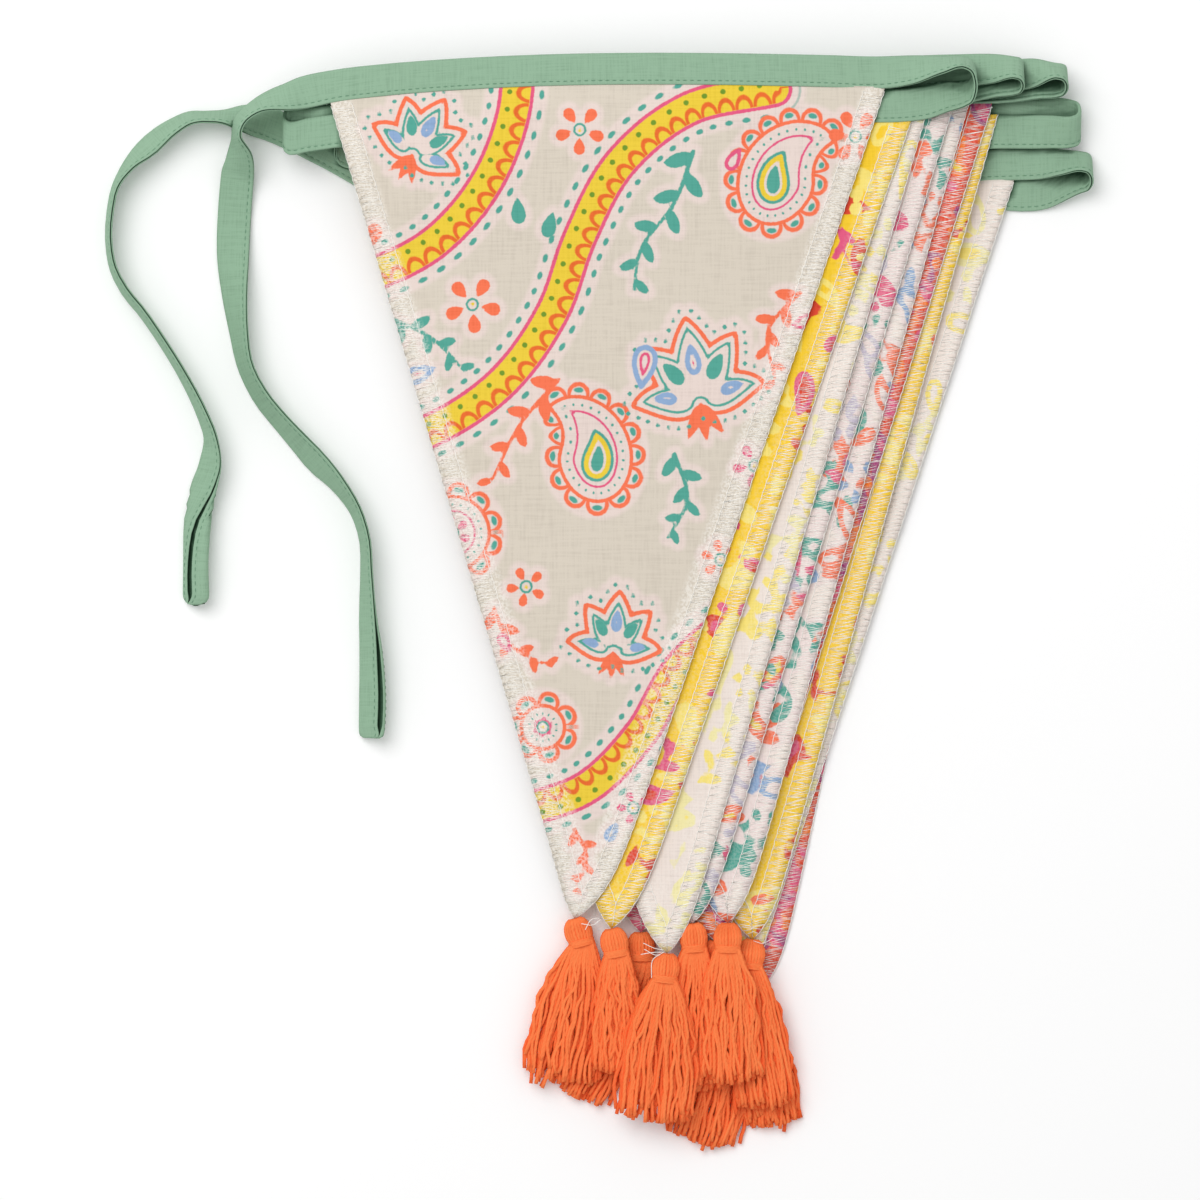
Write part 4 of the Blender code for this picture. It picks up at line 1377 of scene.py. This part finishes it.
def turn_stations(index):
    """The binding between one pass and the next: upper leg, half circle, lower leg."""
    turn = turn_after(index)
    share, outward = (1.0, 1.0) if index % 2 == 0 else (0.0, -1.0)
    upper = leg_rows(tape_centre(index, share)[0], turn, "upper", pass_layer(index), outward)
    lower = leg_rows(tape_centre(index + 1, share)[0], turn, "lower", pass_layer(index + 1), outward)
    arc = []
    for angle in map(math.radians, ARC_ANGLES):
        blend = (1.0 - math.cos(angle)) / 2
        x, y, z, tilt = (lerp(a, b, blend) for a, b in zip(upper[-1], lower[-1]))
        arc.append((x + outward * turn["radius"] * math.sin(angle), y, z, tilt))
    return [station(row[:2], row[2], row[3], DOWN, *FLAT_SHAPE) for row in upper + arc + lower[::-1]]


def seen_tilt(seen):
    """The tilt at which the tape looks so wide from above."""
    upright = math.sqrt(1.0 - min(seen / TAPE_WIDTH, 1.0) ** 2)
    return math.acos(min((seen - TAPE_THICK * upright) / TAPE_WIDTH, 1.0))


def tie_stations(table, layer, hand, slit):
    """A tie's stations. hand is 1 where its sewn edge is on the right of its run, -1 on the left."""
    places = np.array([row[:2] for row in table])
    free = places[0] if hand > 0 else places[-1]
    stations = []
    for step, (place, (_, _, seen, carry)) in enumerate(zip(places, table)):
        run = unit(places[min(step + 1, len(places) - 1)] - places[max(step - 1, 0)])
        edge = np.array([run[1], -run[0]]) * hand
        height, slope = on_stack(layer, place, edge)
        tilt = seen_tilt(seen)
        rest = (TAPE_WIDTH * math.sin(tilt) + TAPE_THICK * math.cos(tilt)) / 2 + TIE_CLEAR
        opened = float(smooth(OPEN_STEEP - OPEN_STEEP * np.linalg.norm(place - free) / OPEN_LENGTH))
        gape = lerp(SHUT_GAPE, OPEN_GAPE, opened)
        half = lerp(TAPE_THICK / 2, OPEN_BULGE, opened)
        z, tilt = rest + carry * height, tilt + carry * slope
        stations.append(station(place, z, tilt, edge, gape, half, slit * opened))
    return stations


def header_stations():
    """The whole binding in one run: a tie, ten passes with nine turns between them, and the other tie."""
    stations = tie_stations(FRONT_TIE, 0, 1, FRONT_SLIT)
    for index in range(len(FLAGS)):
        run = pass_stations(index)
        stations += run if index % 2 == 0 else run[::-1]
        if index < len(FLAGS) - 1:
            stations += turn_stations(index)
    return stations + tie_stations(BACK_TIE, LAYERS - 1, -1, -BACK_SLIT)


def tube_section(q, half_width, half_thick):
    """A point at q round a flattened tube, from its sewn edge over its top face, and the normal there."""
    straight = half_width - half_thick
    quarter = math.pi * half_thick / 2
    whole = 4.0 * (quarter + straight)
    q = (q + whole / 2) % whole - whole / 2
    sign, q = np.sign(q), np.abs(q)
    flat = np.clip(q - quarter, 0.0, 2.0 * straight)
    angle = (q - flat) / half_thick
    normal = np.stack((np.cos(angle), sign * np.sin(angle)), -1)
    out = straight - flat + half_thick * np.cos(angle)
    up = sign * half_thick * np.sin(angle)
    return np.stack((out, up), -1), normal


def relief(reach):
    """Height of the tape's face at a distance from its nearer edge: a stitched groove and a puffed rim."""
    groove = -GROOVE * np.exp(-((reach - HEM) / GROOVE_WIDTH) ** 2)
    return groove + RIM * smooth(reach / RIM_WIDTH) * smooth((HEM - reach) / RIM_WIDTH)


def thinned(rows):
    """The rows that a line needs: more of them where it bends or tilts."""
    run = unit(np.diff(rows[:, :3], axis=0))
    edge = unit(rows[:, 3:6])
    kept, turned = [0], 0.0
    for step in range(1, len(rows) - 1):
        bend = run[step] @ run[step - 1], edge[step] @ edge[step - 1]
        turned += sum(math.acos(min(float(value), 1.0)) for value in bend)
        at_end = min(step, len(rows) - 1 - step) < END_ROWS
        if at_end or turned > TAPE_BEND or (step - kept[-1]) * TAPE_STEP >= TAPE_STRIDE:
            kept.append(step)
            turned = 0.0
    return rows[kept + [len(rows) - 1]]


def rounded_off(distance, radius):
    """What a rounded end takes off the tape's half width, at a distance from that end."""
    short = np.clip(1.0 - distance / radius, 0.0, 1.0)
    return radius * (1.0 - np.sqrt(1.0 - short ** 2))


class Tape:
    """The fine tape's sections."""

    def __init__(self):
        rows = thinned(resample(header_stations(), TAPE_STEP))
        self.middle = rows[:, :3]
        self.along = so_far(spans_of(self.middle))
        self.steps = range(len(rows))
        self.edge = unit(rows[:, 3:6])
        self.face = unit(np.cross(self.edge, unit(np.gradient(self.middle, self.along, axis=0))))
        left = self.along[-1] - self.along
        shut = smooth(np.minimum(self.along, left) / END_CLOSE)
        self.wide = TAPE_WIDTH / 2 - rounded_off(self.along, FRONT_ROUND) - rounded_off(left, BACK_ROUND)
        self.gape = lerp(END_GAPE, rows[:, 6], shut)
        self.half = lerp(END_THICK, rows[:, 7], shut)
        self.slit = rows[:, 8]
        self.flat_width = self.strip(len(rows) // 2)

    def strip(self, step):
        """Length round a section, from one of the tape's edges to the other."""
        half = self.half[step]
        return 4.0 * (math.pi * half / 2 + self.wide[step] - half) - self.gape[step]

    def point(self, step, share, inside=0.0, raised=0.0):
        """Points of one section: share from 0 to 1 round the strip, on its outside or inside face."""
        strip = self.strip(step)
        q = self.slit[step] + self.gape[step] / 2 + share * strip
        spot, normal = tube_section(q, self.wide[step], self.half[step])
        reach = np.minimum(share, 1.0 - share) * strip
        rise = -inside * LEAF_THICK + (relief(reach) + raised) * (1.0 - inside)
        spot = spot + normal * rise[..., None]
        return self.middle[step] + spot[..., :1] * self.edge[step] + spot[..., 1:] * self.face[step]


def build_header(tape, flags, materials):
    """The folded tape, outside and lining."""
    hem = np.array(HEM_POINTS) / tape.flat_width
    between = np.linspace(hem[-1], 1.0 - hem[-1], TAPE_POINTS)[1:-1]
    outside = np.concatenate((hem, between, 1.0 - hem[::-1]))
    share = np.concatenate((outside, np.linspace(1.0, 0.0, LINING_POINTS)))
    inside = np.concatenate((np.zeros(len(outside)), np.ones(LINING_POINTS)))
    rings, sides = len(tape.steps), len(share)
    places = np.concatenate([tape.point(step, share, inside) for step in tape.steps])
    places[:, 2] = np.maximum(places[:, 2], 0.0)
    piece = make_mesh("header_tape", places, tube_faces(0, rings, sides), materials["tape"])
    for cap in (-1, -2):
        piece.data.polygons[cap].use_smooth = False
    add_mark(piece, "along", np.repeat(tape.along, sides))
    add_mark(piece, "around", np.tile(share * 2.0 * TAPE_WIDTH, rings))
    add_mark(piece, "lining", np.tile(inside, rings))
    paint_hollow_shade(piece, flags)
    return seat(piece, "binding", ["header"])


def paint_hollow_shade(piece, flags):
    """Painted shade for each vertex: how much of what it faces is its own piece or a flag close by."""
    corners, faces = [], []
    for part in (piece, *flags):
        first = len(corners)
        corners += [vertex.co for vertex in part.data.vertices]
        faces += [[first + corner for corner in face.vertices] for face in part.data.polygons]
    tree = BVHTree.FromPolygons(corners, faces)
    rays = [Vector(ray).normalized() for ray in HOLLOW_RAYS]
    shade = []
    for vertex in piece.data.vertices:
        start = vertex.co + vertex.normal * (HOLLOW_START * MM)
        ways = [(vertex.normal * HOLLOW_LEAN + ray).normalized() for ray in rays]
        hits = [tree.ray_cast(start, way, HOLLOW_REACH * MM)[0] is not None for way in ways]
        shade.append(sum(hits) / len(rays))
    add_mark(piece, "hollow_shade", shade)


def build_stitches(tape, materials):
    """The stitch line beside the tape's open edge, on both its leaves."""
    bundle = Bundle(STITCH_SIDES)
    across = [HEM / tape.strip(step) for step in tape.steps]
    arch = np.sin(np.linspace(0.0, math.pi, STITCH_ROWS))[:, None] ** STITCH_ROUND
    for shares in (across, [1.0 - share for share in across]):
        crest, root = (
            np.array([tape.point(step, np.array([shares[step]]), 0.0, raised)[0] for step in tape.steps])
            for raised in (STITCH_TOP, STITCH_ROOT)
        )
        run = so_far(spans_of(crest))
        for start in np.arange(STITCH_START, run[-1] - STITCH_PITCH, STITCH_PITCH):
            at = start + np.linspace(0.0, STITCH_LENGTH, STITCH_ROWS)
            high, low = (
                np.column_stack([np.interp(at, run, line[:, axis]) for axis in range(3)])
                for line in (crest, root)
            )
            bundle.add(lerp(low, high, arch), STITCH_RADIUS, (high - low)[0])
    return seat(bundle.finish("header_stitches", materials["stitch"]))


# Tassels

def tassel_axes(index):
    """Where a tassel starts, which way its head and its skirt run, and the heights of its start and neck."""
    tassel = TASSELS[index]
    tip = tip_place(index)[:2]
    down = unit(np.array(tassel["head"]) - tip)
    tip = tip + down * SEAM_GAP
    root = tip + down * HEAD_LENGTH
    fall = np.array(tassel["end"]) - root
    return {
        "tip": tip,
        "down": down,
        "side": np.array([-down[1], down[0]]),
        "root": root,
        "fall": fall,
        "across": unit((-fall[1], fall[0])),
        "tip_z": TAPE_THICK / 2 + float(lift(FLAGS[index]["layer"], tip)[0]),
        "neck_z": max(tassel["mid_z"] + STRAND_PITCH, HEAD_THICK / 2),
    }


def head_point(axes, share, angle, swell):
    """A point on a tassel's head: share down its length, angle round it from its left side over the top."""
    scale = np.interp(share, *np.transpose(HEAD_PROFILE))
    half_width = HEAD_WIDTH / 2 * scale + swell
    half_thick = HEAD_THICK / 2 * scale + swell
    middle = axes["tip"] + np.multiply.outer(share, axes["down"]) * HEAD_LENGTH
    place = middle + np.multiply.outer(-np.cos(angle) * half_width, axes["side"])
    z = lerp(axes["tip_z"], axes["neck_z"], smooth(share * HEAD_RISE))
    return np.column_stack((place, np.maximum(z, half_thick) + np.sin(angle) * half_thick))


def skirt_line(tassel, axes, a, row, random):
    """One yarn of the skirt, from the neck over the shoulder to its cut end; a is -1 to 1 across its row."""
    share = np.linspace(0.0, 1.0, YARN_POINTS)
    level = row / (YARN_ROWS - 1.0)
    x = a * math.sqrt(1.0 - SKIRT_ROUND * (level - 0.5) ** 2) * NECK_WIDTH / 2
    start = axes["root"] - axes["down"] * SKIRT_START + axes["side"] * x
    middle, end = a + random.normal(0.0, STRAY, 2)
    spread = tassel["width"] * (1.0 - ROW_NARROWS * level)
    knee = axes["root"] + axes["fall"] * KNEE_AT + axes["across"] * (middle * spread * KNEE_SPREAD)
    reach = 1.0 - TRIM * random.random() ** 2 - SIDE_TRIM * a * a
    if random.integers(STRAY_EVERY) == 0:
        reach += STRAY_REACH
    finish = axes["root"] + axes["fall"] * reach + axes["across"] * (end * (spread / 2 - YARN))
    t = share[:, None]
    place = lerp(lerp(start, knee, t), lerp(knee, finish, t), t)
    wave = np.zeros(YARN_POINTS)
    eased = smooth(share * YARN_WAVE_RISE)
    for turns, height in YARN_WAVES:
        phase = random.uniform(0.0, math.tau)
        wave += random.normal(0.0, height) * np.sin(share * turns * math.tau + phase) * eased
    place = place + np.multiply.outer(wave, axes["across"])
    stack = row * ROW_PITCH * lerp(SIDE_STACK, 1.0, math.sqrt(max(1.0 - a * a, 0.0)))
    lying = lerp(tassel["mid_z"], tassel["end_z"], share) + YARN + stack
    run = random.uniform(*YARN_LIFT_RUN)
    lying = lying + YARN_LIFT * np.sin(share * run + random.uniform(0.0, math.tau))
    neck_z = axes["neck_z"] + (level - 0.5) * NECK_THICK * SKIRT_ROUND
    z = lerp(neck_z, lying, smooth(share * SKIRT_FALL))
    return np.column_stack((place, np.maximum(z, YARN)))


def build_tassel(index, materials):
    """Wrapped head, neck and skirt of loose yarn."""
    tassel, axes = TASSELS[index], tassel_axes(index)
    random = np.random.default_rng(TASSEL_SEED + index)
    bundle = Bundle(YARN_SIDES)
    for yarn in range(HEAD_YARNS):
        angle = math.tau * (yarn + HEAD_STRAY * random.random()) / HEAD_YARNS
        share = np.linspace(0.0, HEAD_END, HEAD_POINTS)
        line = head_point(axes, share, np.full(HEAD_POINTS, angle), -YARN * HEAD_SINK)
        outwards = [*(-math.cos(angle) * axes["side"]), math.sin(angle)]
        bundle.add(line, YARN * HEAD_YARN, outwards, random.random())
    for turn in range(NECK_TURNS):
        angles = np.linspace(0.0, math.tau, NECK_POINTS)
        share = NECK_SHARE + NECK_LONG * (turn + angles / math.tau) / NECK_TURNS
        line = head_point(axes, share, angles, YARN * NECK_SWELL)
        bundle.add(line, YARN * NECK_YARN, [*axes["down"], 0.0], random.random())
    for row in range(YARN_ROWS):
        for column in range(YARN_COLUMNS):
            a = 2.0 * (column + 0.5 + COLUMN_STRAY * (random.random() - 0.5)) / YARN_COLUMNS - 1.0
            line = skirt_line(tassel, axes, a, row, random)
            # random tone, and painted shade on each row under the top one
            bundle.add(line, YARN, UP, random.random() + ROW_SHADE * (YARN_ROWS - 1 - row))
    name = numbered("tassel", index)
    return seat(bundle.finish(f"{name}_yarn", materials["yarn"]), "tassel_yarn", [name])


# The picture

def build_floor():
    bpy.ops.mesh.primitive_plane_add(size=FLOOR_SIZE, location=(0.0, 0.0, -FLOOR_DROP))
    floor = bpy.context.object
    floor.name = "floor"
    floor.data.materials.append(plain_cloth("floor", FLOOR, FLOOR_ROUGHNESS))


def build_lights():
    """A large soft light overhead and pale surroundings."""
    world = bpy.data.worlds.new("studio")
    bpy.context.scene.world = world
    world.use_nodes = True
    background = world.node_tree.nodes["Background"]
    background.inputs["Color"].default_value = (1.0, 1.0, 1.0, 1.0)
    background.inputs["Strength"].default_value = SKY_STRENGTH
    light = bpy.data.lights.new("softbox", "AREA")
    light.shape = "DISK"
    light.size = LAMP_SIZE
    light.energy = LAMP_POWER
    lamp = bpy.data.objects.new("softbox", light)
    lamp.location = LAMP_PLACE
    lamp.rotation_euler = [math.radians(turn) for turn in LAMP_TURN]
    bpy.context.scene.collection.objects.link(lamp)


def build_camera():
    """Straight above, as in the photograph."""
    camera = bpy.data.cameras.new("camera")
    camera.lens = LENS
    camera.sensor_width = SENSOR
    eye = bpy.data.objects.new("camera", camera)
    eye.location = (0.0, 0.0, PHOTO_WIDTH * MM * LENS / SENSOR)
    bpy.context.scene.collection.objects.link(eye)
    bpy.context.scene.camera = eye


def declare_cloth(flags):
    """Works out the sizes of each flag's flat cloth, before it was sewn and laid down, and does nothing more
    with them.
    """
    for index, piece in enumerate(flags):
        left, right, _ = CORNERS[index]
        height = flag_height(index) + TUCK


def main():
    bpy.context.scene.view_settings.view_transform = "Standard"
    build_camera()
    build_lights()
    build_floor()
    materials = build_materials()
    flags = [build_flag(index, materials) for index in range(len(FLAGS))]
    trims = [build_overlock(index, materials) for index in range(len(FLAGS))]
    tape = Tape()
    header = build_header(tape, flags, materials)
    build_stitches(tape, materials)
    tassels = [build_tassel(index, materials) for index in range(len(TASSELS))]
    declare_cloth(flags)


main()
